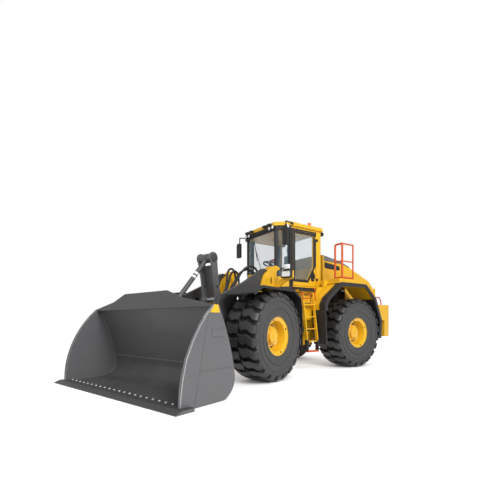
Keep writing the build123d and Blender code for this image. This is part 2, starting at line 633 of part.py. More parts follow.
hood = hood_shell(0)
long_edges = [edge for edge in hood.edges() if abs(edge.center().Y) > hood_half_width - 1
              and edge.center().Z > 2320 and edge.length > 200 and abs(edge.tangent_at(0.5).Z) < 0.9]
hood = fillet(long_edges, 55) - hood_shell(hood_edge)
knuckle = block((hinge_rear[0] - 5, hinge_rear[0] + 25), (560, 640), (2262, 2290)) + boss(hinge_rear, 18, 560, 640)
knuckle -= boss(hinge_rear, 10 + running_fit, 550, 650)
holder = boss(hinge_rear, 10, 535, 665)
for y in (535, 650):
    holder += boss(hinge_rear, 14, y, y + 15)
    foot = [shifted(hinge_rear, step) for step in ((-12, -23), (14, -23), (13, -4), (-13, -4))]
    holder += slab(foot, y, y + 15)
parts["rear_grille"] = grille + both(holder)
parts["hood"] = hood + both(knuckle)

# cab: floor, frame with its openings, roof, glass, seat and steering column

wall = 60
floor_z = cab_floor + 90
head = cab_roof - 80
sill = floor_z + 460
side_sill = floor_z + 260
rear_sill = floor_z + 610
door_low = floor_z + 30
hinge_heights = (floor_z + 200, head - 210)
corner_in = 230
plan = [(cab_rear, cab_half_width), (-60, cab_half_width), (cab_front, cab_half_width - corner_in)]
plan += [(x, -y) for x, y in plan[::-1]]
corner_slope = corner_in / (cab_front + 60)
screen_half = cab_half_width - corner_in - 50


def corner_y(x, inward=0):
    # the slanting front corner, measured inward from its outer face
    return cab_half_width - (x + 60) * corner_slope - inward * hypot(1, corner_slope)


def corner_piece(x_low, x_high, outer, inner, z_low, z_high):
    # a stretch of the slanting corner between two depths
    line = [(x_low, corner_y(x_low, outer)), (x_high, corner_y(x_high, outer)), (x_high, corner_y(x_high, inner))]
    return prism(line + [(x_low, corner_y(x_low, inner))], z_low, z_high)


front_post = cab_front - 45
screen_post = -20
parts["cab_floor"] = prism(plan, cab_floor, floor_z)
posts = block((cab_rear, door_rear), (cab_half_width - wall, cab_half_width), (floor_z, head))
for z in hinge_heights:
    posts += block((door_rear - 45, door_rear + 5), (cab_half_width - 5, cab_half_width + 29), (z, z + 59.8))
    posts += bar((door_rear + 5, cab_half_width + 15, z), (door_rear + 5, cab_half_width + 15, z + 59.8), 14)
pair = prism([(door_front, cab_half_width), (-60, cab_half_width), (screen_post, corner_y(screen_post)),
              (screen_post, corner_y(screen_post, wall)), (door_front, cab_half_width - wall)], floor_z, head)
pair += prism([(front_post, corner_y(front_post)), (cab_front, corner_y(cab_front)), (cab_front, screen_half),
               (front_post, screen_half)], floor_z, head)
posts += both(pair)
posts += block((cab_rear, door_rear), (-cab_half_width, wall - cab_half_width), (floor_z, head))
parts["cab_posts"] = posts
panels = both(corner_piece(screen_post, front_post, 0, wall, floor_z, side_sill))
panels += block((cab_front - wall, cab_front), (-screen_half, screen_half), (floor_z, sill))
panels += block((door_rear, door_front), (-cab_half_width, wall - cab_half_width), (floor_z, side_sill))
panels += block((door_rear, door_front), (cab_half_width - wall, cab_half_width), (floor_z, door_low))
panels += block((cab_rear, cab_rear + wall), (wall - cab_half_width, cab_half_width - wall), (floor_z, rear_sill))
parts["cab_panels"] = panels
pane_in = 24
pane_out = pane_in + glass_thick
panes = both(corner_piece(screen_post, front_post, pane_in, pane_out, side_sill, head))
panes += block((cab_front - pane_out, cab_front - pane_in), (-screen_half, screen_half), (sill, head))
panes += block((door_rear, door_front), (pane_in - cab_half_width, pane_out - cab_half_width), (side_sill, head))
panes += block((cab_rear + pane_in, cab_rear + pane_out), (wall - cab_half_width, cab_half_width - wall), (rear_sill, head))
parts["cab_glass"] = panes
roof_plan = [(cab_rear - 70, cab_half_width + 50), (-20, cab_half_width + 50), (cab_front + 60, cab_half_width - corner_in)]
roof_plan += [(x, -y) for x, y in roof_plan[::-1]]
roof = prism(roof_plan, cab_roof, cab_roof + roof_thick, radius=45)
roof = chamfer(roof.faces().sort_by(Axis.Z)[-1].edges(), 38)
parts["cab_roof"] = roof + prism(plan, head, cab_roof)


def lamp_box(x_low, y):
    low, high = cab_roof + 5, cab_roof + 65
    return crosswise([(y - 70, low), (y + 70, low), (y + 70, high), (y - 70, high)], x_low, x_low + 70, radius=20)


lamps = [lamp_box(cab_front + 60, y) for y in (-480, -300, 300, 480)]
lamps += [lamp_box(cab_rear - 140, y) for y in (-600, 600)]
parts["roof_lamps"] = Part() + lamps
mirror_top = cab_roof - 140
mirror_arm = rail([(-45, cab_half_width + 65, cab_roof + 50), (250, 1010, cab_roof + 30), (260, 1020, mirror_top - 270)], 16)
mirror_arm += block((-80, -20), (cab_half_width + 50, cab_half_width + 75), (cab_roof + 15, cab_roof + 65))
mirror_arm += crosswise([(930, mirror_top - 420), (1110, mirror_top - 420), (1110, mirror_top), (930, mirror_top)], 240, 300, 45)
parts["mirrors"] = both(mirror_arm)

door_gap = 10
leaf = block((door_rear + door_gap, door_front - door_gap), (cab_half_width - 48, cab_half_width - 3),
             (door_low + door_gap, head - door_gap))
window = [(door_rear + 110, floor_z + 540), (door_rear + 330, floor_z + 200), (door_front - 80, floor_z + 200)]
window += [(door_front - 80, head - 80), (door_rear + 110, head - 80)]
leaf -= slab(window, cab_half_width - 60, cab_half_width + 10, radius=50)
for z in hinge_heights:
    leaf += block((door_rear + 5, door_rear + 60), (cab_half_width - 5, cab_half_width + 29), (z + 60, z + 120))
    leaf += bar((door_rear + 5, cab_half_width + 15, z + 60), (door_rear + 5, cab_half_width + 15, z + 120), 14)
parts["door"] = leaf
parts["door_glass"] = slab(window, cab_half_width - 32, cab_half_width - 20, radius=50)
squab = [(-300, floor_z + 330), (-300, floor_z + 450), (-680, floor_z + 430), (-730, head - 380), (-850, head - 380)]
seat = slab(squab + [(-860, floor_z + 320)], -250, 250, radius=[30, 50, 60, 45, 45, 60])
seat += block((-700, -420), (-180, 180), (floor_z, floor_z + 335))
headrest = [(-850, head - 390), (-740, head - 390), (-745, head - 160), (-840, head - 160)]
seat += slab(headrest, -130, 130, radius=[5, 5, 40, 40])
parts["seat"] = seat
wheel_z = floor_z + 680
column = bar((100, 0, floor_z + 20), (-90, 0, wheel_z), 30) + block((40, 160), (-60, 60), (floor_z, floor_z + 45))
hand_wheel = Plane(origin=(-90, 0, wheel_z), z_dir=(-190, 0, 660)) * (Cylinder(212, 30) - Cylinder(180, 40) + Box(390, 40, 22) + Cylinder(55, 40))
parts["steering_column"] = column + hand_wheel


os.makedirs("parts", exist_ok=True)
reach_x = edge_reach * cos(radians(steer_at_rest)) + edge_width / 2 * sin(radians(steer_at_rest))
reach_y = edge_reach * sin(radians(steer_at_rest)) + edge_width / 2 * cos(radians(steer_at_rest))
right_side = track / 2 + tyre_width / 2
origin = Pos((rear_reach - reach_x) / 2, (right_side - reach_y) / 2, 0)
for name, shape in parts.items():
    placed = origin * Rot(0, 0, steer_at_rest if name in front else 0) * shape
    export_step(placed, f"parts/{name}.step")
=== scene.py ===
import bmesh
import bpy
import json
from math import atan2, cos, pi, radians, sin
from mathutils import Matrix, Vector
from mathutils.bvhtree import BVHTree


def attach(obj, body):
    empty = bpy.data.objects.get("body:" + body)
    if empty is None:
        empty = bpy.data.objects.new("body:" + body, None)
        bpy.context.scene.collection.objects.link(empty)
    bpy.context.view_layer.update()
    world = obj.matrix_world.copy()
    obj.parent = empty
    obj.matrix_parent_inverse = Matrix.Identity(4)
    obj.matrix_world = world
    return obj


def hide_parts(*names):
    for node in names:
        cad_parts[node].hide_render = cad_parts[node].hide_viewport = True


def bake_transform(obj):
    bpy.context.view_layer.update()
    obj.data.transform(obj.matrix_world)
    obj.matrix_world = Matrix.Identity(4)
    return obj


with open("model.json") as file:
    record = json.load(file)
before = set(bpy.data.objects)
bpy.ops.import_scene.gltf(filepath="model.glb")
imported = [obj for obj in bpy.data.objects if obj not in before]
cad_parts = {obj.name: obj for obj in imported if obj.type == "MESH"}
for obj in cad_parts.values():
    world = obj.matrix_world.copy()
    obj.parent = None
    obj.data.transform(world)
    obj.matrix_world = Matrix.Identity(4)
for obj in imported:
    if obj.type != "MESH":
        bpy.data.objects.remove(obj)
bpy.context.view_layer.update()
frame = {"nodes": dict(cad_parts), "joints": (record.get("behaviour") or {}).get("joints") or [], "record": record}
nodes = frame["nodes"]
joints = {joint["name"]: joint for joint in frame["joints"]}
slotOf = {part["node"]: part["material_slot"] for part in frame["record"]["subparts"]}

# pieces are drawn on the straight machine, hinge at the origin, and placed with the half that carries them
hingePoint = Vector(joints["steer"]["pos_m"])
hingePoint.z = 0
liftAxis = joints["lift"]["axis"]
rearPlace = Matrix.Translation(hingePoint)
frontPlace = rearPlace @ Matrix.Rotation(atan2(liftAxis[0], -liftAxis[1]), 4, "Z")
bothSides = (("left", 1), ("right", -1))
print("frame loaded:", len(nodes), "nodes")


class Value:  # a socket of a shader tree, with the arithmetic that the finishes use
    def __init__(self, shader, socket):
        self.shader = shader
        self.socket = socket

    def math(self, operation, first, second):
        return self.shader.add("ShaderNodeMath", {"operation": operation}, {0: first, 1: second})

    def __add__(self, other):
        return self.math("ADD", self, other)

    def __sub__(self, other):
        return self.math("SUBTRACT", self, other)

    def __rsub__(self, other):
        return self.math("SUBTRACT", other, self)

    def __mul__(self, other):
        return self.math("MULTIPLY", self, other)

    __radd__ = __add__
    __rmul__ = __mul__


class Shader:  # the nodes of a new material or world
    def __init__(self, owner):
        self.owner = owner
        owner.use_nodes = True
        self.tree = owner.node_tree
        self.surface = self.tree.nodes.get("Principled BSDF") or self.tree.nodes["Background"]

    def plug(self, socket, value):
        if isinstance(value, Value):
            self.tree.links.new(value.socket, socket)
        else:
            socket.default_value = value

    def add(self, kind, settings=None, sockets=None, output=0):
        node = self.tree.nodes.new(kind)
        for key, value in (settings or {}).items():
            if key == "stops":
                for stop, (position, shade) in zip(node.color_ramp.elements, value):
                    stop.position = position
                    stop.color = shade
            else:
                setattr(node, key, value)
        for key, value in (sockets or {}).items():
            self.plug(node.inputs[key], value)
        return Value(self, node.outputs[output])

    def finish(self, sockets):
        for key, value in sockets.items():
            self.plug(self.surface.inputs[key], value)
        return self.owner

    def place(self):
        return self.add("ShaderNodeTexCoord", output="Object")

    def ray(self, kind):
        return self.add("ShaderNodeLightPath", output=f"Is {kind} Ray")

    def noise(self, scale, detail, roughness=0.5):
        sockets = {"Vector": self.place(), "Scale": scale, "Detail": detail, "Roughness": roughness}
        return self.add("ShaderNodeTexNoise", None, sockets)

    def ramp(self, value, low, high):  # 0 below low, 1 above high
        stops = [(low, (0, 0, 0, 1)), (high, (1, 1, 1, 1))]
        return self.add("ShaderNodeValToRGB", {"stops": stops}, {"Fac": value})

    def mix(self, factor, first, second):  # sockets 6, 7 and output 2 are the colour ones
        return self.add("ShaderNodeMix", {"data_type": "RGBA"}, {0: factor, 6: first, 7: second}, output=2)

    def bump(self, height, strength, distance):
        sockets = {"Height": height, "Strength": strength, "Distance": distance}
        return self.add("ShaderNodeBump", None, sockets)


def newMaterial(name):
    return Shader(bpy.data.materials.new(name))


def shaded(colour, share):
    return [part * share for part in colour[:3]] + [1]


paintLook = {
    "patches": 1.7, "grain": 240, "spread": 0.12, "bump": (0.05, 0.002),
    "soil": (0.20, 0.17, 0.13, 1), "soilFrom": 0.42, "soilFull": 0.7, "soilRough": 0.4,
}


def paint(name, colour, shade, rough, coat, dust):
    finish = newMaterial(name)
    patches = finish.noise(paintLook["patches"], 4)
    grain = finish.noise(paintLook["grain"], 2)
    height = finish.add("ShaderNodeSeparateXYZ", None, {0: finish.place()}, output="Z")
    spots = finish.ramp(patches, paintLook["soilFrom"], paintLook["soilFull"])
    soil = finish.ramp(1 - height, 0.0, 1.0) * spots * dust  # only the lowest metre is dusty
    base = finish.mix(soil, finish.mix(patches, colour, shade), paintLook["soil"])
    worn = rough + patches * paintLook["spread"] + soil * paintLook["soilRough"]
    return finish.finish({"Base Color": base, "Roughness": worn, "Coat Weight": coat,
                          "Normal": finish.bump(grain, *paintLook["bump"])})


rubberLook = {"patches": 5, "grain": 180, "pale": 1.7, "spread": 0.2, "bump": (0.25, 0.003)}


def rubber(name, colour, rough):
    finish = newMaterial(name)
    patches = finish.noise(rubberLook["patches"], 5, 0.6)
    grain = finish.noise(rubberLook["grain"], 3)
    base = finish.mix(patches, colour, shaded(colour, rubberLook["pale"]))
    return finish.finish({"Base Color": base, "Roughness": rough + patches * rubberLook["spread"],
                          "Normal": finish.bump(grain, *rubberLook["bump"])})


metalLook = {"streaks": 60, "dark": 0.6, "darkFrom": 0.35, "darkFull": 0.75, "bump": (0.1, 0.001)}


def metal(name, colour, rough, scratch):
    finish = newMaterial(name)
    streaks = finish.noise(metalLook["streaks"], 4, 0.7)
    dark = finish.ramp(streaks, metalLook["darkFrom"], metalLook["darkFull"])
    base = finish.mix(dark, colour, shaded(colour, metalLook["dark"]))
    return finish.finish({"Base Color": base, "Metallic": 1.0, "Roughness": rough + streaks * scratch,
                          "Normal": finish.bump(streaks, *metalLook["bump"])})


glassLook = {"film": 3, "rough": 0.03, "spread": 0.05, "dust": 0.06}


def glass(name, colour, cover):
    finish = newMaterial(name)
    film = finish.noise(glassLook["film"], 2)  # thin and uneven
    return finish.finish({"Base Color": colour, "Roughness": glassLook["rough"] + film * glassLook["spread"],
                          "Alpha": cover + film * glassLook["dust"], "Coat Weight": 1.0})


lensLook = {"dark": 0.75, "rough": 0.12, "bump": (0.4, 0.004)}


def lens(name, colour, ribs):
    finish = newMaterial(name)
    sockets = {"Vector": finish.place(), "Scale": ribs}
    waves = finish.add("ShaderNodeTexWave", {"bands_direction": "Y"}, sockets)
    base = finish.mix(waves, colour, shaded(colour, lensLook["dark"]))
    return finish.finish({"Base Color": base, "Roughness": lensLook["rough"], "Coat Weight": 1.0,
                          "Normal": finish.bump(waves, *lensLook["bump"])})


fabricLook = {"weave": 300, "patches": 8, "pale": 2, "rough": 0.8, "spread": 0.15, "bump": (0.3, 0.001)}


def fabric(name, colour):
    finish = newMaterial(name)
    sockets = {"Vector": finish.place(), "Scale": fabricLook["weave"]}
    weave = finish.add("ShaderNodeTexChecker", None, sockets, output="Fac")
    patches = finish.noise(fabricLook["patches"], 4)
    base = finish.mix(patches, colour, shaded(colour, fabricLook["pale"]))
    rough = fabricLook["rough"] + patches * fabricLook["spread"]
    return finish.finish({"Base Color": base, "Roughness": rough,
                          "Normal": finish.bump(weave, *fabricLook["bump"])})


finishes = {
    "yellow_paint": paint("machine yellow", (0.76, 0.425, 0.012, 1), (0.73, 0.40, 0.010, 1),
                          rough=0.30, coat=0.25, dust=0.12),
    # grey_paint, bucket_shell, bucket_sides, bellcrank and bucket_link are one dark grey paint at different
    # brightness, painted light and shade: the bucket sides lighter as lit, the boom, bucket inside and link darker
    # as shaded
    "grey_paint": paint("dark grey paint, painted shade", (0.045, 0.045, 0.047, 1), (0.036, 0.036, 0.038, 1),
                        rough=0.40, coat=0.1, dust=0.12),
    "black_paint": paint("black plastic", (0.016, 0.016, 0.017, 1), (0.012, 0.012, 0.013, 1),
                         rough=0.48, coat=0.0, dust=0.10),
    "orange_paint": paint("rail orange", (0.58, 0.085, 0.006, 1), (0.53, 0.072, 0.005, 1),
                          rough=0.42, coat=0.0, dust=0.0),
    # one rubber at three brightnesses: the sidewall lighter as painted light, the groove floor darker as painted
    # shade
    "tyre_rubber": rubber("sidewall rubber, painted light", (0.038, 0.038, 0.0385, 1), rough=0.58),
    "tread_rubber": rubber("tread rubber", (0.019, 0.019, 0.0195, 1), rough=0.36),
    "groove_shade_rubber": rubber("groove rubber, painted shade", (0.004, 0.004, 0.004, 1), rough=0.75),
    "bright_steel": metal("polished rod", (0.72, 0.72, 0.74, 1), rough=0.12, scratch=0.12),
    "edge_steel": metal("worn edge steel", (0.20, 0.20, 0.205, 1), rough=0.42, scratch=0.25),
    "tinted_glass": glass("cab glass", (0.30, 0.44, 0.52, 1), cover=0.09),
    "lamp_lens": lens("lamp glass", (0.86, 0.88, 0.88, 1), ribs=28),
    "seat_fabric": fabric("seat cloth", (0.03, 0.031, 0.035, 1)),
    # bucket inside darker as painted shade, bucket sides lighter as painted light
    "bucket_shell": paint("bucket inside grey, painted shade", (0.062, 0.062, 0.064, 1), (0.050, 0.050, 0.052, 1),
                          rough=0.42, coat=0.1, dust=0.2),
    "bucket_sides": paint("bucket side grey, painted light", (0.115, 0.115, 0.122, 1), (0.095, 0.095, 0.101, 1),
                          rough=0.42, coat=0.1, dust=0.2),
    # crank and link: the same grey paint at their own brightness, the link darker as painted shade
    "bellcrank": paint("crank grey", (0.105, 0.105, 0.108, 1), (0.085, 0.085, 0.088, 1),
                       rough=0.40, coat=0.1, dust=0.1),
    "bucket_link": paint("link grey, painted shade", (0.07, 0.07, 0.073, 1), (0.057, 0.057, 0.059, 1),
                         rough=0.40, coat=0.1, dust=0.1),
    "worn_rim": metal("rubbed edge", (0.52, 0.52, 0.53, 1), rough=0.38, scratch=0.25),
    "hood_top": paint("hood grey", (0.16, 0.16, 0.168, 1), (0.13, 0.13, 0.137, 1),
                      rough=0.35, coat=0.2, dust=0.0),
    "white_band": paint("white band", (0.75, 0.75, 0.74, 1), (0.68, 0.68, 0.67, 1),
                        rough=0.4, coat=0.1, dust=0.0),
    "amber_lens": lens("amber lamp", (0.80, 0.16, 0.02, 1), ribs=40),
    "red_lens": lens("tail lamp", (0.55, 0.02, 0.015, 1), ribs=40),
}
# nodes that look other than their slot, beside those with a finish of their own name
dressed = {"cab_posts": "black_paint", "rear_fenders": "yellow_paint", "roof_lamps": "black_paint"}
for name, node in nodes.items():
    finish = finishes[dressed.get(name, name if name in finishes else slotOf[name])]
    node.data.materials.clear()
    node.data.materials.append(finish)
print("finishes on every node:", len(finishes))


def slab(shape, outline, low, high, axis="y"):  # a flat outline given a thickness along y or z
    spots = {"y": lambda a, b, t: (a, t, b), "z": lambda a, b, t: (a, b, t)}
    rings = [[shape.verts.new(spots[axis](a, b, t)) for a, b in outline] for t in (low, high)]
    for ring in rings:
        shape.faces.new(ring)
    for i in range(len(outline)):
        shape.faces.new((rings[0][i - 1], rings[0][i], rings[1][i], rings[1][i - 1]))


def block(shape, x, y, z, side=1):  # three pairs of low and high, side -1 for the right hand
    slab(shape, [(x[0], z[0]), (x[1], z[0]), (x[1], z[1]), (x[0], z[1])], side * y[0], side * y[1])


def skin(shape, rings, closed=False):  # faces from ring to ring, and over the ends
    for first, second in zip(rings, rings[1:] + (rings[:1] if closed else [])):
        for i in range(len(first)):
            shape.faces.new((first[i - 1], first[i], second[i], second[i - 1]))
    if not closed:
        shape.faces.new(rings[0])
        shape.faces.new(rings[-1])


def lathe(shape, profile, centre, axis="y", sides=28, closed=False):  # profile of (radius, distance along)
    def spot(radius, along, turn):
        u, v = radius * cos(turn), radius * sin(turn)
        return Vector(centre) + Vector({"x": (along, u, v), "y": (u, along, v), "z": (u, v, along)}[axis])
    rings = [[shape.verts.new(spot(r, t, 2 * pi * i / sides)) for i in range(sides)] for r, t in profile]
    skin(shape, rings, closed)


def onSide(points, side):  # points of the left hand, or their mirror image
    return [(x, side * y, z) for x, y, z in points]


def flatSide(outline, side):  # the same for a flat outline or a profile
    return [(x, side * y) for x, y in outline]


def rounded(points, bend, steps=5):  # a bar's corners
    points = [Vector(point) for point in points]
    line = points[:1]
    for before, corner, after in zip(points, points[1:], points[2:]):
        start = corner + (before - corner).normalized() * bend
        end = corner + (after - corner).normalized() * bend
        for i in range(steps + 1):
            t = i / steps
            line.append(start.lerp(corner, t).lerp(corner.lerp(end, t), t))
    return line + points[-1:]


def bar(shape, points, radius, sides=10):
    points = [Vector(point) for point in points]
    across = None
    rings = []
    for i, point in enumerate(points):
        heading = (points[min(i + 1, len(points) - 1)] - points[max(i - 1, 0)]).normalized()
        if across is None:
            across = heading.cross(Vector((1, 0, 0)) if abs(heading.x) < 0.8 else Vector((0, 1, 0)))
        across = (across - heading * across.dot(heading)).normalized()
        other = heading.cross(across)
        turns = [2 * pi * k / sides for k in range(sides)]
        rings.append([shape.verts.new(point + (across * cos(t) + other * sin(t)) * radius) for t in turns])
    skin(shape, rings)


def solid(name, shape, bevel=0.0):
    bmesh.ops.recalc_face_normals(shape, faces=shape.faces)
    if bevel:
        bmesh.ops.bevel(shape, geom=shape.edges[:], offset=bevel, segments=2, profile=0.5,
                        affect="EDGES", clamp_overlap=True)
        bmesh.ops.recalc_face_normals(shape, faces=shape.faces)
    mesh = bpy.data.meshes.new(name)
    shape.to_mesh(mesh)
    shape.free()
    return mesh


sharpFrom = radians(35)  # edges that turn more than this stay sharp


def shown(name, mesh, finish, others=()):
    parts = [face.material_index for face in mesh.polygons]
    mesh.materials.clear()
    for coat in (finish, *others):
        mesh.materials.append(finishes[coat])
    mesh.polygons.foreach_set("material_index", parts if others else [0] * len(parts))
    mesh.shade_smooth()
    mesh.set_sharp_from_angle(angle=sharpFrom)
    piece = bpy.data.objects.new(name, mesh)
    bpy.context.scene.collection.objects.link(piece)
    return piece


def keep(name, made, body, place, finish, bevel=0.0, others=()):  # placed in its mesh, carried by its body
    mesh = made if isinstance(made, bpy.types.Mesh) else solid(name, made, bevel)
    mesh.transform(place)
    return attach(shown(name, mesh, finish, others), body)


def plain(piece):  # the piece's evaluated shape as a mesh of its own
    bpy.context.view_layer.update()
    return bpy.data.meshes.new_from_object(piece.evaluated_get(bpy.context.evaluated_depsgraph_get()))


def onto(node, start, way, place=frontPlace):  # where a line meets a solid, in the frame of its half
    mesh = nodes[node].data
    tree = BVHTree.FromPolygons([v.co for v in mesh.vertices], [p.vertices for p in mesh.polygons])
    spot = tree.ray_cast(place @ Vector(start), place.to_3x3() @ Vector(way))[0]
    return place.inverted() @ spot


def stepTree():  # copies of a shape, each moved and turned on from the last
    tree = bpy.data.node_groups.new("copies in step", "GeometryNodeTree")
    kinds = {"Shape": "Geometry", "Count": "Int", "Step": "Vector", "Turn": "Float", "Start": "Float",
             "Finish": "Material"}
    for label, kind in kinds.items():
        tree.interface.new_socket(label, in_out="INPUT", socket_type="NodeSocket" + kind)
    tree.interface.new_socket("Shape", in_out="OUTPUT", socket_type="NodeSocketGeometry")
    given, result = tree.nodes.new("NodeGroupInput"), tree.nodes.new("NodeGroupOutput")
    index = tree.nodes.new("GeometryNodeInputIndex")
    place = tree.nodes.new("ShaderNodeVectorMath")
    place.operation = "SCALE"
    turn = tree.nodes.new("ShaderNodeMath")
    turn.operation = "MULTIPLY_ADD"
    angles = tree.nodes.new("ShaderNodeCombineXYZ")
    points = tree.nodes.new("GeometryNodePoints")
    repeats = tree.nodes.new("GeometryNodeInstanceOnPoints")
    real = tree.nodes.new("GeometryNodeRealizeInstances")
    coat = tree.nodes.new("GeometryNodeSetMaterial")
    wires = [(given.outputs["Step"], place.inputs[0]), (index.outputs[0], place.inputs["Scale"]),
             (index.outputs[0], turn.inputs[0]), (given.outputs["Turn"], turn.inputs[1]),
             (given.outputs["Start"], turn.inputs[2]), (turn.outputs[0], angles.inputs["Y"]),
             (given.outputs["Count"], points.inputs["Count"]), (place.outputs[0], points.inputs["Position"]),
             (points.outputs[0], repeats.inputs["Points"]),
             (given.outputs["Shape"], repeats.inputs["Instance"]),
             (angles.outputs[0], repeats.inputs["Rotation"]), (repeats.outputs[0], real.inputs[0]),
             (real.outputs[0], coat.inputs["Geometry"]), (given.outputs["Finish"], coat.inputs["Material"]),
             (coat.outputs[0], result.inputs[0])]
    for start, end in wires:
        tree.links.new(start, end)
    return tree


inStep = stepTree()


def copies(name, shape, finish, count, step=(0, 0, 0), turn=0.0, start=0.0, bevel=0.0):
    one = bpy.data.objects.new(name, solid(name, shape, bevel))
    bpy.context.scene.collection.objects.link(one)
    modifier = one.modifiers.new("copies", "NODES")
    modifier.node_group = inStep
    given = {"Count": count, "Step": step, "Turn": turn, "Start": start, "Finish": finishes[finish]}
    for item in inStep.interface.items_tree:
        if item.in_out == "INPUT" and item.name in given:
            modifier[item.identifier] = given[item.name]
    mesh = plain(one)
    one.modifiers.clear()
    bpy.data.objects.remove(one)
    return mesh


tyre = {
    "lugs": 22, "lugHalf": 0.083, "lugEdge": 0.010, "lugRound": 0.008, "lugDepth": 0.07,
    "lead": 0.09,  # how far a lug sweeps on towards the shoulder
    "wave": 0.026, "waveLength": 0.25, "zigzag": 0.022, "zigzagSteps": 4,
    "half": 0.38, "turnRadius": 0.9, "sides": 112, "grooveHalf": 0.34, "grooveFloor": 0.79,
    # (radius, distance from the middle) over the lugs, then up the sidewall from the rim
    "top": [(0.9145, 0.016), (0.9145, 0.075), (0.9145, 0.135), (0.913, 0.195), (0.909, 0.250), (0.901, 0.295),
            (0.886, 0.335), (0.862, 0.364), (0.832, 0.378), (0.795, 0.380)],
    "side": [(0.444, 0.270), (0.444, 0.312), (0.400, 0.3135), (0.396, 0.319), (0.402, 0.324), (0.440, 0.326),
             (0.446, 0.321), (0.468, 0.322), (0.474, 0.327), (0.490, 0.327), (0.497, 0.330), (0.552, 0.344),
             (0.557, 0.359), (0.577, 0.361), (0.583, 0.349), (0.650, 0.362), (0.690, 0.366), (0.695, 0.3795),
             (0.716, 0.3795), (0.722, 0.366), (0.775, 0.362), (0.812, 0.350), (0.836, 0.322), (0.848, 0.280),
             (0.853, 0.150)],
}


def lug(side):  # a block with bent edges from the middle of the tread over the shoulder
    shape = bmesh.new()
    top, half, edge = tyre["top"], tyre["lugHalf"], tyre["lugEdge"]
    flank = [(half + edge, tyre["lugDepth"]), (half, tyre["lugRound"]), (half - edge, 0.0)]
    section = [(-across, depth) for across, depth in flank] + flank[::-1]
    rings = []
    for i, (radius, y) in enumerate(top):
        before, after = top[max(i - 1, 0)], top[min(i + 1, len(top) - 1)]
        run = Vector((after[0] - before[0], after[1] - before[1])).normalized()
        wave = side * (tyre["lead"] * y / tyre["half"] + tyre["wave"] * sin(2 * pi * y / tyre["waveLength"]))
        middle = max(1 - i / tyre["zigzagSteps"], 0)  # the zigzag along the middle
        ring = []
        for across, depth in section:
            slant = tyre["zigzag"] * across / half * middle
            turn = (wave + across) / tyre["turnRadius"]
            high = radius - depth * run.y
            along = side * (y + depth * run.x + slant)
            ring.append(shape.verts.new((high * sin(turn), along, high * cos(turn))))
        rings.append(ring)
    skin(shape, rings)
    return shape


def tyreMesh():
    pitch = 2 * pi / tyre["lugs"]
    whole = bmesh.new()
    section = tyre["side"] + [(radius, -y) for radius, y in tyre["side"][::-1]]
    lathe(whole, section, (0, 0, 0), sides=tyre["sides"], closed=True)
    wall = len(whole.faces)
    for face in whole.faces:  # the floor of the grooves is darker: painted shade
        middle = face.calc_center_median()
        outside = (middle.x ** 2 + middle.z ** 2) ** 0.5 > tyre["grooveFloor"]
        face.material_index = 2 if outside and abs(middle.y) < tyre["grooveHalf"] else 0
    for side in (1, -1):
        start = (side + 1) * pitch / 4  # the left row runs half a lug ahead
        whole.from_mesh(copies("tread", lug(side), "tread_rubber", tyre["lugs"], turn=pitch, start=start))
    whole.faces.ensure_lookup_table()
    for face in whole.faces[wall:]:
        face.material_index = 1
    return solid("tyre", whole)


rim = {
    "centre": (1.85, 1.20, 0.915),  # of the front left wheel
    "bolts": 20, "boltRing": 0.232, "boltFace": 0.095,
    "bolt": [(0.026, 0.0), (0.026, 0.006), (0.017, 0.006), (0.017, 0.024), (0.013, 0.028)],
    "studs": 12, "studRing": 0.128, "stud": [(0.014, 0.212), (0.014, 0.222), (0.009, 0.225)],
    "cap": [(0.150, 0.186), (0.150, 0.206), (0.138, 0.214), (0.118, 0.214), (0.112, 0.220), (0.060, 0.224),
            (0.056, 0.236), (0.030, 0.240)],
    "plugs": 4, "plugRing": 0.356, "plugFace": 0.2875, "plugStart": 0.4,
    "plug": [(0.020, 0.0), (0.020, 0.005), (0.012, 0.008)],
}


def rimBolts():
    bolt = bmesh.new()
    lathe(bolt, rim["bolt"], (0, rim["boltFace"], rim["boltRing"]), sides=8)
    return copies("bolts", bolt, "edge_steel", rim["bolts"], turn=2 * pi / rim["bolts"])


def hubCap():
    shape, stud = bmesh.new(), bmesh.new()
    lathe(shape, rim["cap"], (0, 0, 0), sides=40)
    lathe(stud, rim["stud"], (0, 0, rim["studRing"]), sides=8)
    shape.from_mesh(copies("studs", stud, "yellow_paint", rim["studs"], turn=2 * pi / rim["studs"]))
    return solid("hub", shape)


def rimPlugs():
    plug = bmesh.new()
    lathe(plug, rim["plug"], (0, rim["plugFace"], rim["plugRing"]), sides=14)
    turn = 2 * pi / rim["plugs"]
    return copies("plugs", plug, "black_paint", rim["plugs"], turn=turn, start=rim["plugStart"])


def wheels():
    tread, bolts, cap, plugs = tyreMesh(), rimBolts(), hubCap(), rimPlugs()
    x, y, z = rim["centre"]
    for end, place, along in (("front", frontPlace, x), ("rear", rearPlace, -x)):
        for hand, side in bothSides:
            turned = Matrix.Rotation(0 if side > 0 else pi, 4, "Z")
            spot = place @ Matrix.Translation((along, side * y, z)) @ turned
            wheel = f"{end}_{hand}"
            body = "wheel_" + wheel
            rubbers = ("tread_rubber", "groove_shade_rubber")
            piece = keep(f"tread_{wheel}", tread.copy(), body, spot, "tyre_rubber", others=rubbers)
            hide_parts(f"tyre_{wheel}")
            keep(f"rim_bolts_{wheel}", bolts.copy(), body, spot, "edge_steel")
            keep(f"hub_cap_{wheel}", cap.copy(), body, spot, "yellow_paint")
            keep(f"rim_plugs_{wheel}", plugs.copy(), body, spot, "black_paint")


wheels()
print("wheels: treads, bolts, hub caps")

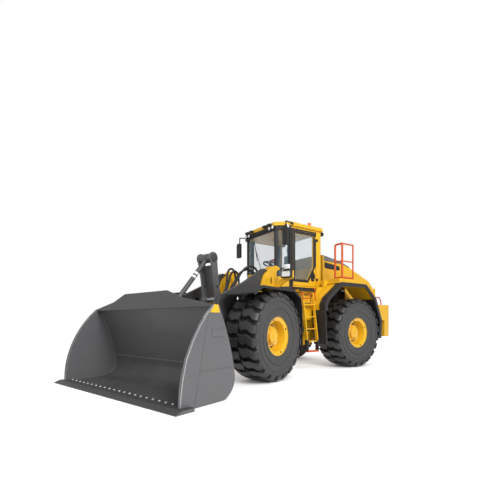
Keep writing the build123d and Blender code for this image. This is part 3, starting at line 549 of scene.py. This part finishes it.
bucket = {
    "half": 1.740,
    "front": [(3.952, 1.468), (4.105, 1.325), (4.238, 1.159), (4.375, 0.945), (4.493, 0.699), (4.563, 0.430),
              (4.598, 0.190), (4.606, 0.065)],  # the curved edge of the side plates
    "strip": (0.018, 0.009),  # how far the wear strip goes back and down
    "stripProud": 0.004, "stripDepth": 0.034,
    "bead": 0.009, "thinBead": 0.006, "mouth": 4.3,
    "seamHeight": 0.48, "seamStops": (-1.69, -0.8, 0.0, 0.8, 1.69),
    "corner": 1.705, "cornerHeights": (1.36, 1.2, 1.0, 0.8, 0.6, 0.45, 0.3, 0.18, 0.1),
    "cornerFloor": (3.75, 3.95, 4.15, 4.4),
    "sideSeams": (((4.06, 1.33), (4.33, 0.06)), ((4.23, 0.50), (3.56, 0.50))),
    "patch": [(3.945, 1.464), (3.862, 1.464), (3.826, 1.345), (4.030, 1.345)],
    "plate": [(3.74, 1.11), (3.74, 0.99), (3.99, 0.99), (3.99, 1.11)],
    "sunk": 0.002, "seamProud": 0.001, "patchProud": 0.007, "plateProud": 0.008,
    "floorFrom": 0.6, "edgeFrom": 0.8,  # heights that the lines down to the steel start from
    "bolts": 22, "boltLine": 4.49, "boltEnd": 1.62,
    "bolt": [(0.026, -0.002), (0.026, 0.006), (0.022, 0.014), (0.012, 0.018)],
}


def wearStrips():
    worn = bmesh.new()
    front, half = bucket["front"], bucket["half"]
    inner = [(x - bucket["strip"][0], z - bucket["strip"][1]) for x, z in front]
    outside, inside = half + bucket["stripProud"], half - bucket["stripDepth"]
    for side in (1, -1):
        slab(worn, front + inner[::-1], side * outside, side * inside)
    keep("side_wear_strips", worn, "bucket", frontPlace, "worn_rim")


def bucketWelds():
    beads = bmesh.new()
    mouth, above = bucket["mouth"], bucket["floorFrom"]
    seam = [onto("bucket_shell", (mouth, y, bucket["seamHeight"]), (-1, 0, 0)) for y in bucket["seamStops"]]
    bar(beads, seam, bucket["bead"])
    for side in (1, -1):
        corner = side * bucket["corner"]
        line = [onto("bucket_shell", (mouth, corner, z), (-1, 0, 0)) for z in bucket["cornerHeights"]]
        line += [onto("bucket_shell", (x, corner, above), (0, 0, -1)) for x in bucket["cornerFloor"]]
        bar(beads, line, bucket["bead"])
        face = side * (bucket["half"] + bucket["seamProud"])
        for ends in bucket["sideSeams"]:
            bar(beads, [(x, face, z) for x, z in ends], bucket["thinBead"])
    keep("bucket_welds", beads, "bucket", frontPlace, "bucket_sides")


def bucketPlates():
    inside = bucket["half"] - bucket["sunk"]
    for hand, side in bothSides:
        patch, plate = bmesh.new(), bmesh.new()
        slab(patch, bucket["patch"], side * inside, side * (bucket["half"] + bucket["patchProud"]))
        keep(f"bucket_patch_{hand}", patch, "bucket", frontPlace, "yellow_paint", bevel=0.002)
        slab(plate, bucket["plate"], side * inside, side * (bucket["half"] + bucket["plateProud"]))
        keep(f"bucket_plate_{hand}", plate, "bucket", frontPlace, "bucket_sides", bevel=0.003)


def edgeBolts():
    head = bmesh.new()
    spot = onto("cutting_edge", (bucket["boltLine"], -bucket["boltEnd"], bucket["edgeFrom"]), (0, 0, -1))
    lathe(head, bucket["bolt"], spot, axis="z", sides=12)
    gap = 2 * bucket["boltEnd"] / (bucket["bolts"] - 1)
    row = copies("edge_bolts", head, "worn_rim", bucket["bolts"], step=(0, gap, 0))
    keep("edge_bolts", row, "bucket", frontPlace, "worn_rim")


wearStrips()
bucketWelds()
bucketPlates()
edgeBolts()
print("bucket: wear strips, welds, plates, bolts")

linkage = {
    "pivot": (1.10, 2.25), "crankPin": (2.20, 1.70), "crankTop": (2.347, 2.588),
    "bucketPin": (3.31, 0.45), "linkPin": (3.457, 1.338), "pivotEnd": 0.745, "sunk": 0.001,
    # piece, place, radius, body (for a pin, its node too) and finish
    "caps": (("pivot_caps", "pivot", 0.115, "front_frame", "yellow_paint"),
             ("crank_caps", "crankTop", 0.085, "link_pin", "grey_paint"),
             ("bucket_caps", "bucketPin", 0.09, "bucket_pins", "grey_paint"),
             ("crank_foot_caps", "crankPin", 0.09, "bellcrank_pin", "grey_paint")),
    # share of the cap's radius, height over the pin's end
    "capSteps": [(1.0, 0.0), (1.0, 0.010), (0.86, 0.014), (0.60, 0.014), (0.55, 0.020), (0.30, 0.022)],
    "bands": (0.30, 0.36), "bandHalf": 0.028, "bandRadius": 0.0525,
}


def pinEnd(node):  # how far a pin reaches to the left
    return max((frontPlace.inverted() @ vertex.co).y for vertex in nodes[node].data.vertices)


def pinCaps():
    for name, at, radius, body, finish in linkage["caps"]:
        x, z = linkage[at]
        end = linkage["pivotEnd"] if at == "pivot" else pinEnd(body)
        shape = bmesh.new()
        for side in (1, -1):
            steps = [(radius * share, side * rise) for share, rise in linkage["capSteps"]]
            lathe(shape, steps, (x, side * (end - linkage["sunk"]), z), sides=24)
        keep(name, shape, body, frontPlace, finish)


def linkBands():
    top, foot = [Vector((x, 0, z)) for x, z in (linkage["crankTop"], linkage["linkPin"])]
    half = (foot - top).normalized() * linkage["bandHalf"]
    bands = bmesh.new()
    for share in linkage["bands"]:
        middle = top.lerp(foot, share)
        bar(bands, [middle - half, middle + half], linkage["bandRadius"], sides=28)
    keep("link_bands", bands, "bucket_link", frontPlace, "white_band")


pinCaps()
linkBands()
print("linkage: pin caps, bands")

hoses = {
    "radius": 0.026, "rows": (0.25, 0.36), "ends": (0.05, 0.10),  # at the towers, on the tilt barrel
    "rise": 0.07,  # the outer pair arches higher
    # across, these are distances from the row at the tower or from the end on the barrel
    "tower": [(0.945, 0, 1.99), (0.945, 0, 2.16)],
    "arch": [(0.96, 0, 2.38), (1.15, -0.05, 2.50), (1.40, -0.11, 2.38)],
    "barrel": [(1.53, 0.04, 2.14), (1.64, 0, 1.97), (1.68, 0, 1.90)],
    "bend": ((0.98, 0, 2.25), (1.55, 0, 2.05)),  # from where to where along the route
}


def hose(name, points):
    curve = bpy.data.curves.new(name, "CURVE")
    curve.dimensions = "3D"
    curve.bevel_depth = hoses["radius"]
    curve.bevel_resolution = 3
    curve.use_fill_caps = True
    line = curve.splines.new("NURBS")
    line.points.add(len(points) - 1)
    for spot, point in zip(line.points, points):
        spot.co = (*point, 1)
    line.order_u = 3
    line.use_endpoint_u = True
    line.resolution_u = 8
    route = bpy.data.objects.new(name, curve)
    bpy.context.scene.collection.objects.link(route)
    mesh = plain(route)
    bpy.data.objects.remove(route)
    mesh.transform(frontPlace)
    return shown(name, mesh, "black_paint")


def hoseRuns():
    for hand, side in bothSides:
        for k, (row, foot) in enumerate(zip(hoses["rows"], hoses["ends"])):
            route = [(x, row + y, z) for x, y, z in hoses["tower"]]
            route += [(x, row + y, z + hoses["rise"] * k) for x, y, z in hoses["arch"]]
            route += [(x, foot + y, z) for x, y, z in hoses["barrel"]]
            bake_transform(hose(f"hose_{hand}_{k}", onSide(route, side)))


hoseRuns()
print("hoses")

cab = {
    "middlePost": ((-0.122, -0.074), (-0.064, -0.016)),  # two covers
    "middleDepth": (0.856, 0.870), "middleHeights": (2.12, 3.58),
    "frontPost": [(0.198, 0.574), (0.258, 0.574), (0.258, 0.634), (0.232, 0.654), (0.194, 0.640)],
    "frontPostHeights": (2.56, 3.58),
    "corner": [(-0.066, 0.862), (0.250, 0.628), (0.262, 0.640), (-0.058, 0.876)],
    "cornerHeights": ((3.54, 3.638), (2.535, 2.575)),  # over and under the corner glass
    "overDoor": ((-0.96, -0.06), (0.858, 0.872), (3.554, 3.590)),
    "overScreen": ((0.246, 0.262), (-0.64, 0.64), (3.52, 3.638)),
    "underScreen": ((0.246, 0.260), (-0.64, 0.64), (2.535, 2.575)),
    "rearPost": [(-1.128, 0.700), (-1.128, 0.868), (-0.958, 0.868), (-0.958, 0.856), (-1.116, 0.856),
                 (-1.116, 0.700)],
    "rearPostHeights": (2.10, 3.60),
}


def cabPosts():
    dark, yellow = bmesh.new(), bmesh.new()
    for side in (1, -1):
        for x in cab["middlePost"]:
            block(dark, x, cab["middleDepth"], cab["middleHeights"], side)
        slab(dark, flatSide(cab["frontPost"], side), *cab["frontPostHeights"], "z")
        for heights in cab["cornerHeights"]:
            slab(dark, flatSide(cab["corner"], side), *heights, "z")
        block(dark, *cab["overDoor"], side)
        slab(yellow, flatSide(cab["rearPost"], side), *cab["rearPostHeights"], "z")
    block(dark, *cab["overScreen"])
    block(dark, *cab["underScreen"])
    keep("cab_dark_trim", dark, "rear_frame", rearPlace, "black_paint", bevel=0.003)
    keep("rear_post_covers", yellow, "rear_frame", rearPlace, "yellow_paint", bevel=0.004)


cabLamps = {
    "strip": ((0.260, 0.305), (-0.62, 0.62), (3.572, 3.638)), "places": (0.45, 0.58), "height": 3.604,
    "cup": [(0.052, 0.29), (0.052, 0.318), (0.046, 0.322)],
    "glass": [(0.043, 0.318), (0.043, 0.328), (0.034, 0.336), (0.016, 0.340)],
    "corner": [(0.02, 0.858), (0.10, 0.80), (0.16, 0.86), (0.08, 0.92)], "cornerHeights": (3.555, 3.637),
    "cornerPlace": (0.085, 0, 3.598),
    "cornerGlass": [(0.034, 0.905), (0.034, 0.918), (0.026, 0.924), (0.012, 0.927)],
    "rear": ((-1.255, -1.185), (0.70, 0.86), (3.545, 3.637)),
    "rearGlass": ((-1.270, -1.250), (0.715, 0.845), (3.558, 3.625)),
}


def lampStrip():
    strip, lamps = bmesh.new(), bmesh.new()
    block(strip, *cabLamps["strip"])
    for side in (1, -1):
        for y in cabLamps["places"]:
            lathe(strip, cabLamps["cup"], (0, side * y, cabLamps["height"]), "x", sides=20)
            lathe(lamps, cabLamps["glass"], (0, side * y, cabLamps["height"]), "x", sides=20)
        slab(strip, flatSide(cabLamps["corner"], side), *cabLamps["cornerHeights"], "z")
        lathe(lamps, flatSide(cabLamps["cornerGlass"], side), cabLamps["cornerPlace"], "y", sides=20)
        block(strip, *cabLamps["rear"], side)
        block(lamps, *cabLamps["rearGlass"], side)
    keep("lamp_strip", strip, "rear_frame", rearPlace, "black_paint", bevel=0.004)
    keep("strip_lamps", lamps, "rear_frame", rearPlace, "lamp_lens")


door = {
    "frame": [(-0.945, 2.690), (-0.665, 2.235), (-0.134, 2.235), (-0.134, 3.545), (-0.945, 3.545)],
    "window": [(-0.850, 2.640), (-0.630, 2.300), (-0.200, 2.300), (-0.200, 3.480), (-0.850, 3.480)],
    "seal": (0.855, 0.866),
    "handle": [(-0.80, 0.858, 2.52), (-0.80, 0.885, 2.52), (-0.86, 0.892, 2.46), (-0.86, 0.892, 2.36),
               (-0.80, 0.885, 2.31), (-0.80, 0.858, 2.31)],
    "handleRadius": 0.014, "bend": 0.02,
    "cup": [(-0.88, 2.28), (-0.78, 2.28), (-0.76, 2.34), (-0.76, 2.50), (-0.79, 2.55), (-0.88, 2.55)],
    "cupDepth": (0.855, 0.861),
}


def doorTrim():
    ring, handle = bmesh.new(), bmesh.new()
    lines = (door["frame"], door["window"])
    loops = [[ring.verts.new((x, y, z)) for x, z in line] for line in lines for y in door["seal"]]
    for first, second in ((0, 1), (2, 3), (0, 2), (1, 3)):
        for i in range(len(door["frame"])):
            ring.faces.new((loops[first][i - 1], loops[first][i], loops[second][i], loops[second][i - 1]))
    keep("door_seal", ring, "door", rearPlace, "black_paint", bevel=0.003)
    bar(handle, rounded(door["handle"], door["bend"]), door["handleRadius"])
    slab(handle, door["cup"], *door["cupDepth"])
    keep("door_handle", handle, "door", rearPlace, "black_paint")


roofTop = {
    "wiperArm": [(0.262, 0.06, 2.57), (0.285, 0.06, 2.60), (0.275, -0.20, 3.20)], "armRadius": 0.008,
    "blade": [(0.268, -0.12, 2.86), (0.268, -0.27, 3.42)], "bladeRadius": 0.010, "bend": 0.02,
    "above": 5,  # the line down to the roof starts here
    "beacon": (-0.80, 0.77), "foot": [(0.062, -0.012), (0.062, 0.018), (0.050, 0.024)],
    "domeFoot": (0.050, 0.022), "dome": [(0.052, 3.800), (0.050, 3.830), (0.040, 3.848), (0.020, 3.858)],
    "aerialFoot": [(-0.15, 0.30, 3.742), (-0.15, 0.30, 3.765)], "footRadius": 0.022,
    "aerial": [(-0.15, 0.30, 3.760), (-0.155, 0.30, 3.855)], "aerialRadius": 0.005,
}


def wiperAndBeacon():
    wiper, base, dome = bmesh.new(), bmesh.new(), bmesh.new()
    bar(wiper, rounded(roofTop["wiperArm"], roofTop["bend"]), roofTop["armRadius"])
    bar(wiper, roofTop["blade"], roofTop["bladeRadius"])
    keep("wiper", wiper, "rear_frame", rearPlace, "black_paint")
    x, y = roofTop["beacon"]
    roof = onto("cab_roof", (x, y, roofTop["above"]), (0, 0, -1), rearPlace).z
    lathe(base, [(radius, roof + rise) for radius, rise in roofTop["foot"]], (x, y, 0), "z", sides=24)
    radius, rise = roofTop["domeFoot"]
    lathe(dome, [(radius, roof + rise)] + roofTop["dome"], (x, y, 0), "z", sides=24)
    bar(base, roofTop["aerialFoot"], roofTop["footRadius"])
    bar(base, roofTop["aerial"], roofTop["aerialRadius"])
    keep("beacon_base", base, "rear_frame", rearPlace, "black_paint")
    keep("beacon", dome, "rear_frame", rearPlace, "amber_lens")


cabPosts()
lampStrip()
doorTrim()
wiperAndBeacon()
print("cab: dark trim, lamps, door seal, beacon")

hood = {
    "half": 0.797, "lift": 0.010, "crown": [(0.50, 0.022), (0.25, 0.032)],
    "shoulder": 0.055, "shoulderTurns": (0, 0.4, 0.8, 1.2, 1.571),
    "top": [(-1.33, 3.05), (-1.50, 3.03), (-1.75, 2.99), (-2.044, 2.949), (-2.25, 2.879), (-2.43, 2.817)],
    "drop": (0.155, 0.140, 0.110, 0.080, 0.045, 0.012),  # how far the cover comes down the sides
    "ribs": 5, "ribGap": 0.142, "ribWidth": (-0.298, -0.270), "ribHeights": (0.015, 0.049),
    "plate": [(-1.36, 2.86), (-1.36, 2.73), (-1.40, 2.69), (-1.93, 2.67), (-2.00, 2.70), (-1.98, 2.79)],
    "plateDepth": (0.786, 0.799),
}


def hoodCover():
    cover = bmesh.new()
    half, lift, bend = hood["half"], hood["lift"], hood["shoulder"]
    rings = []
    for (x, z), drop in zip(hood["top"], hood["drop"]):
        fall = min(drop, bend)
        side = [(half, -drop)]
        side += [(half - bend * (1 - cos(t)), lift - fall * (1 - sin(t))) for t in hood["shoulderTurns"]]
        side += hood["crown"]
        curve = side + [(-y, up) for y, up in side[::-1]]
        rings.append([cover.verts.new((x, y, z + up)) for y, up in curve])
    skin(cover, rings)
    keep("hood_cover", cover, "hood", rearPlace, "hood_top")


def hoodRibs():
    rib = bmesh.new()
    low, high = hood["ribHeights"]
    ridge = hood["top"][1:5]
    slab(rib, [(x, z + low) for x, z in ridge] + [(x, z + high) for x, z in ridge[::-1]], *hood["ribWidth"])
    row = copies("hood_ribs", rib, "hood_top", hood["ribs"], step=(0, hood["ribGap"], 0), bevel=0.004)
    keep("hood_ribs", row, "hood", rearPlace, "hood_top")


def hoodPlates():
    for hand, side in bothSides:
        plate = bmesh.new()
        slab(plate, hood["plate"], *[side * y for y in hood["plateDepth"]])
        keep(f"hood_plate_{hand}", plate, "hood", rearPlace, "black_paint", bevel=0.004)


hoodCover()
hoodRibs()
hoodPlates()
print("hood: cover, ribs, plates")

access = {
    "stepEdge": [(-0.52, 1.19, 1.985), (-0.52, 1.215, 1.985), (-0.04, 1.215, 1.985), (-0.04, 1.19, 1.985)],
    "stepBend": 0.02, "stepRadius": 0.026,
    # bend, radius and route of each orange bar
    "grabs": ((0.03, 0.014, [(-0.10, 1.19, 1.93), (-0.10, 1.235, 1.93), (-0.10, 1.235, 1.78),
                             (-0.34, 1.235, 1.78), (-0.34, 1.235, 1.93), (-0.34, 1.19, 1.93)]),
              (0.03, 0.014, [(-0.58, 1.098, 2.06), (-0.58, 1.16, 2.06), (-0.62, 1.16, 1.66),
                             (-0.62, 1.098, 1.66)])),
    "rails": ((0.05, 0.026, [(-1.27, 1.47, 3.23), (-1.27, 1.24, 3.23), (-1.27, 1.24, 2.32)]),
              (0.03, 0.027, [(-1.27, 1.47, 2.325), (-1.27, 1.47, 3.20)]),
              (0.03, 0.030, [(-1.27, 1.24, 2.352), (-1.27, 1.47, 2.352), (-1.70, 1.47, 2.352)]),
              (0.03, 0.017, [(-3.30, 1, 1.715), (-3.30, 1, 1.95), (-3.60, 1, 1.95), (-3.68, 1, 1.80),
                             (-3.68, 1, 1.715)]),
              (0.03, 0.019, [(-1.27, 1.47, 2.78), (-1.27, 1.24, 2.78)])),
    "bottomStep": ((-0.512, -0.133), (1.279, 1.381), (0.466, 0.506)),
    "straps": ((-0.522, -0.478), (-0.167, -0.123)),
    "strapWidth": (1.283, 1.374), "strapHeights": (0.498, 0.760),
}


def orangeBars(shape, rows, side):
    for bend, radius, route in rows:
        bar(shape, rounded(onSide(route, side), bend), radius)


def railsAndSteps():
    orange, dark = bmesh.new(), bmesh.new()
    for side in (1, -1):
        bar(dark, rounded(onSide(access["stepEdge"], side), access["stepBend"]), access["stepRadius"])
        orangeBars(orange, access["grabs"], side)
        block(orange, *access["bottomStep"], side)
        for x in access["straps"]:  # rubber straps that hang the bottom step
            block(dark, x, access["strapWidth"], access["strapHeights"], side)
        orangeBars(orange, access["rails"], side)
    keep("orange_loops", orange, "rear_frame", rearPlace, "orange_paint")
    keep("step_edges", dark, "rear_frame", rearPlace, "black_paint")


sidePanel = {
    "tray": [(-0.20, 1.88), (-0.54, 1.88), (-0.47, 1.67), (-0.24, 1.67), (-0.20, 1.88)], "seam": 0.009,
    "outside": 2,  # the lines in to the panel start here
    "screws": 7, "screwGap": 0.045, "firstScrew": (-0.22, 1.60),
    "screw": [(0.013, 0.0), (0.013, 0.006), (0.008, 0.009)],
}


def onPanel(x, z, side):
    return onto("side_boxes", (x, side * sidePanel["outside"], z), (0, -side, 0), rearPlace)


def panelTrim():
    seams, rows = bmesh.new(), bmesh.new()
    for side in (1, -1):
        spots = [onPanel(x, z, side) for x, z in sidePanel["tray"]]
        for ends in zip(spots, spots[1:]):
            bar(seams, ends, sidePanel["seam"])
        head = bmesh.new()
        lathe(head, flatSide(sidePanel["screw"], side), onPanel(*sidePanel["firstScrew"], side), sides=10)
        step = (-sidePanel["screwGap"], 0, 0)
        rows.from_mesh(copies("panel_screws", head, "black_paint", sidePanel["screws"], step=step))
    keep("panel_seams", seams, "rear_frame", rearPlace, "black_paint")
    keep("panel_screws", rows, "rear_frame", rearPlace, "black_paint")


railsAndSteps()
panelTrim()
print("access: rails, step edges, panel seams")

fender = {
    "arch": [(-2.810, 0.740), (-2.850, 1.240), (-2.580, 1.840), (-2.140, 2.200), (-1.170, 2.200),
             (-0.640, 1.800), (-0.545, 1.640), (-0.545, 1.480)],
    "flap": [(-0.545, 1.500), (-0.609, 0.640)],
    "rim": (0.016, -0.078), "rimWidth": (1.538, 1.568), "top": (0.016, 0.001), "topWidth": (1.370, 1.540),
    "skin": (0.012, -0.026), "backWidth": (0.870, 1.540), "flapWidth": (1.120, 1.548),
}


def beside(line, gap):  # the line moved sideways, corners kept
    points = [Vector(point) for point in line]
    moved = []
    for i, point in enumerate(points):
        near = points[max(i - 1, 0):i + 2]
        runs = [(b - a).normalized() for a, b in zip(near, near[1:])]
        sides = [Vector((-run.y, run.x)) for run in runs]
        middle = (sides[0] + sides[-1]).normalized()
        moved.append(tuple(point + middle * gap / middle.dot(sides[0])))
    return moved


def fenderBands():
    band = bmesh.new()
    arch = fender["arch"]
    for side in (1, -1):
        for line, gaps, width in ((arch, "rim", "rimWidth"), (arch, "top", "topWidth"),
                                  (arch[:3], "skin", "backWidth"), (fender["flap"], "skin", "flapWidth")):
            outer, inner = [beside(line, gap) for gap in fender[gaps]]
            slab(band, outer + inner[::-1], *[side * y for y in fender[width]])
    keep("fender_bands", band, "rear_frame", rearPlace, "black_paint", bevel=0.003)


fenderBands()
print("rear fenders: dark bands")

headlamp = {
    "back": ((0.765, 0.822), (0.972, 1.238), (2.236, 2.404)),
    "stalk": ((0.775, 0.830), (1.05, 1.16), (2.40, 2.455)),
    "upper": ((0.800, 0.868), (1.035, 1.175), (2.435, 2.545)), "rimDepth": (0.815, 0.894),
    # width and height of the four bars round the glass
    "rim": (((0.973, 1.237), (2.237, 2.258)), ((0.973, 1.237), (2.382, 2.403)),
            ((0.973, 0.994), (2.250, 2.390)), ((1.216, 1.237), (2.250, 2.390))),
}


def frontLamps():
    dark, lamps, rims = bmesh.new(), bmesh.new(), bmesh.new()
    for side in (1, -1):
        block(dark, *headlamp["back"], side)
        block(dark, *headlamp["stalk"], side)
        block(lamps, *headlamp["upper"], side)
        for y, z in headlamp["rim"]:
            block(rims, headlamp["rimDepth"], y, z, side)
    keep("lamp_backs", dark, "front_frame", frontPlace, "black_paint", bevel=0.008)
    keep("upper_lamps", lamps, "front_frame", frontPlace, "lamp_lens", bevel=0.014)
    keep("lamp_rims", rims, "front_frame", frontPlace, "black_paint", bevel=0.004)


tailLamp = {"depth": (-4.062, -4.040), "height": (1.50, 1.60), "red": (0.62, 0.80), "amber": (0.50, 0.60)}


def rearLamps():
    red, amber = bmesh.new(), bmesh.new()
    for side in (1, -1):
        block(red, tailLamp["depth"], tailLamp["red"], tailLamp["height"], side)
        block(amber, tailLamp["depth"], tailLamp["amber"], tailLamp["height"], side)
    keep("tail_lamps", red, "rear_frame", rearPlace, "red_lens", bevel=0.006)
    keep("rear_markers", amber, "rear_frame", rearPlace, "amber_lens", bevel=0.006)


frontLamps()
rearLamps()
print("lamps, front and rear")

seat = {
    "voxel": 0.010, "pressure": 4.0, "swell": 0.018, "frames": 20, "edge": 0.02, "fill": 0.8,
    "squab": [(-0.320, 2.455), (-0.320, 2.535), (-0.400, 2.565), (-0.740, 2.545), (-0.760, 2.445)],
    "back": [(-0.705, 2.585), (-0.785, 2.570), (-0.835, 3.090), (-0.790, 3.135), (-0.755, 3.100)],
    "rest": [(-0.770, 3.190), (-0.830, 3.190), (-0.840, 3.345), (-0.800, 3.365), (-0.772, 3.325)],
    "halves": {"squab": 0.225, "back": 0.215, "rest": 0.115},
    "stand": ((-0.70, -0.42), (-0.18, 0.18), (2.10, 2.44)),
    "pan": ((-0.76, -0.34), (-0.22, 0.22), (2.43, 2.455)),
    "stems": (-0.05, 0.05), "stemHeights": (3.10, 3.20), "stemX": -0.80, "stemRadius": 0.008,
}


def swollen(pad):  # cloth under pressure, with a cap on how far a point moves
    still = [vertex.co.copy() for vertex in pad.data.vertices]
    cloth = pad.modifiers.new("swell", "CLOTH")
    cloth.settings.use_pressure = True
    cloth.settings.uniform_pressure_force = seat["pressure"]
    cloth.settings.effector_weights.gravity = 0
    for step in range(1, seat["frames"] + 1):
        bpy.context.scene.frame_set(step)
    mesh = plain(pad)
    for vertex, start in zip(mesh.vertices, still):
        move = vertex.co - start
        if move.length > seat["swell"]:
            vertex.co = start + move.normalized() * seat["swell"]
    pad.modifiers.clear()
    bpy.context.scene.frame_set(1)
    return mesh


def cushion():
    shape = bmesh.new()
    for part, half in seat["halves"].items():
        slab(shape, seat[part], -half, half)
    pad = bpy.data.objects.new("seat_cushion", solid("seat_cushion", shape, seat["edge"]))
    bpy.context.scene.collection.objects.link(pad)
    cut = pad.modifiers.new("remesh", "REMESH")
    cut.mode = "VOXEL"
    cut.voxel_size = seat["voxel"]
    pad.data = plain(pad)
    pad.modifiers.clear()
    pad.data = swollen(pad)
    smooth = pad.modifiers.new("smooth", "SUBSURF")
    smooth.levels = smooth.render_levels = 1
    mesh = plain(pad)
    bpy.data.objects.remove(pad)
    piece = keep("seat_cushion", mesh, "rear_frame", rearPlace, "seat_fabric")
    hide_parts("seat")


def seatStand():
    stand = bmesh.new()
    block(stand, *seat["stand"])
    block(stand, *seat["pan"])
    for y in seat["stems"]:
        bar(stand, [(seat["stemX"], y, z) for z in seat["stemHeights"]], seat["stemRadius"])
    keep("seat_stand", stand, "rear_frame", rearPlace, "black_paint", bevel=0.006)


cushion()
seatStand()
print("seat")

stage = {
    "floorHalf": 60.0, "floorColour": (0.86, 0.86, 0.86, 1), "floorRough": 0.9,
    "glow": 2.4, "glowShare": 0.3, "shadowReach": 1.0, "shadowRays": 8,
    "world": 0.50,  # light from all round, white to the camera
    # energy, size, place and target
    "lights": {"key": (1900, 6, (2, 12, 10), (0, 0, 1)), "fill": (450, 8, (12, 4, 6), (0, 0, 1)),
               "rim": (500, 6, (-10, -8, 9), (0, 0, 2))},
}


def floorFinish():
    pale = newMaterial("pale floor")
    pale.finish({"Base Color": stage["floorColour"], "Roughness": stage["floorRough"]})
    seen = pale.ray("Camera") + pale.ray("Glossy") + pale.ray("Transmission")
    clear = pale.add("ShaderNodeAmbientOcclusion", {"samples": stage["shadowRays"]},
                     {"Distance": stage["shadowReach"]}, output="AO")  # darker underneath: a painted contact shadow in the floor's glow
    glow = pale.add("ShaderNodeEmission", None, {"Color": (1, 1, 1, 1), "Strength": stage["glow"]})
    matt = Value(pale, pale.surface.outputs[0])
    both = pale.add("ShaderNodeMixShader", None, {0: seen * clear * stage["glowShare"], 1: matt, 2: glow})
    pale.plug(pale.tree.nodes["Material Output"].inputs["Surface"], both)
    return pale.owner


def studio():
    half = stage["floorHalf"]
    corners = [(-half, -half, 0), (half, -half, 0), (half, half, 0), (-half, half, 0)]
    mesh = bpy.data.meshes.new("floor")
    mesh.from_pydata(corners, [], [(0, 1, 2, 3)])
    mesh.materials.append(floorFinish())
    floor = bpy.data.objects.new("floor", mesh)
    bpy.context.scene.collection.objects.link(floor)
    sky = Shader(bpy.data.worlds.new("studio"))
    strength = stage["world"] + sky.ray("Camera") * (1 - stage["world"])
    bpy.context.scene.world = sky.finish({"Color": (1, 1, 1, 1), "Strength": strength})
    for name, (energy, size, place, target) in stage["lights"].items():
        lamp = bpy.data.objects.new(name, bpy.data.lights.new(name, "AREA"))
        lamp.data.energy = energy
        lamp.data.size = size
        lamp.location = place
        lamp.rotation_euler = (Vector(target) - Vector(place)).to_track_quat("-Z", "Y").to_euler()
        bpy.context.scene.collection.objects.link(lamp)


view = {"place": (5.660, 7.080, 1.21), "heading": -123.8, "lens": 24.75, "film": 36, "rise": 0.17, "far": 200}


def photographer():
    camera = bpy.data.objects.new("camera", bpy.data.cameras.new("camera"))
    camera.location = rearPlace @ Vector(view["place"])
    camera.rotation_euler = (radians(90), 0, radians(view["heading"] - 90))
    camera.data.sensor_width = view["film"]
    camera.data.lens = view["lens"]
    camera.data.shift_y = view["rise"]
    camera.data.clip_end = view["far"]
    bpy.context.scene.collection.objects.link(camera)
    bpy.context.scene.camera = camera
    bpy.context.scene.view_settings.view_transform = "Standard"


studio()
photographer()
print("studio and camera")
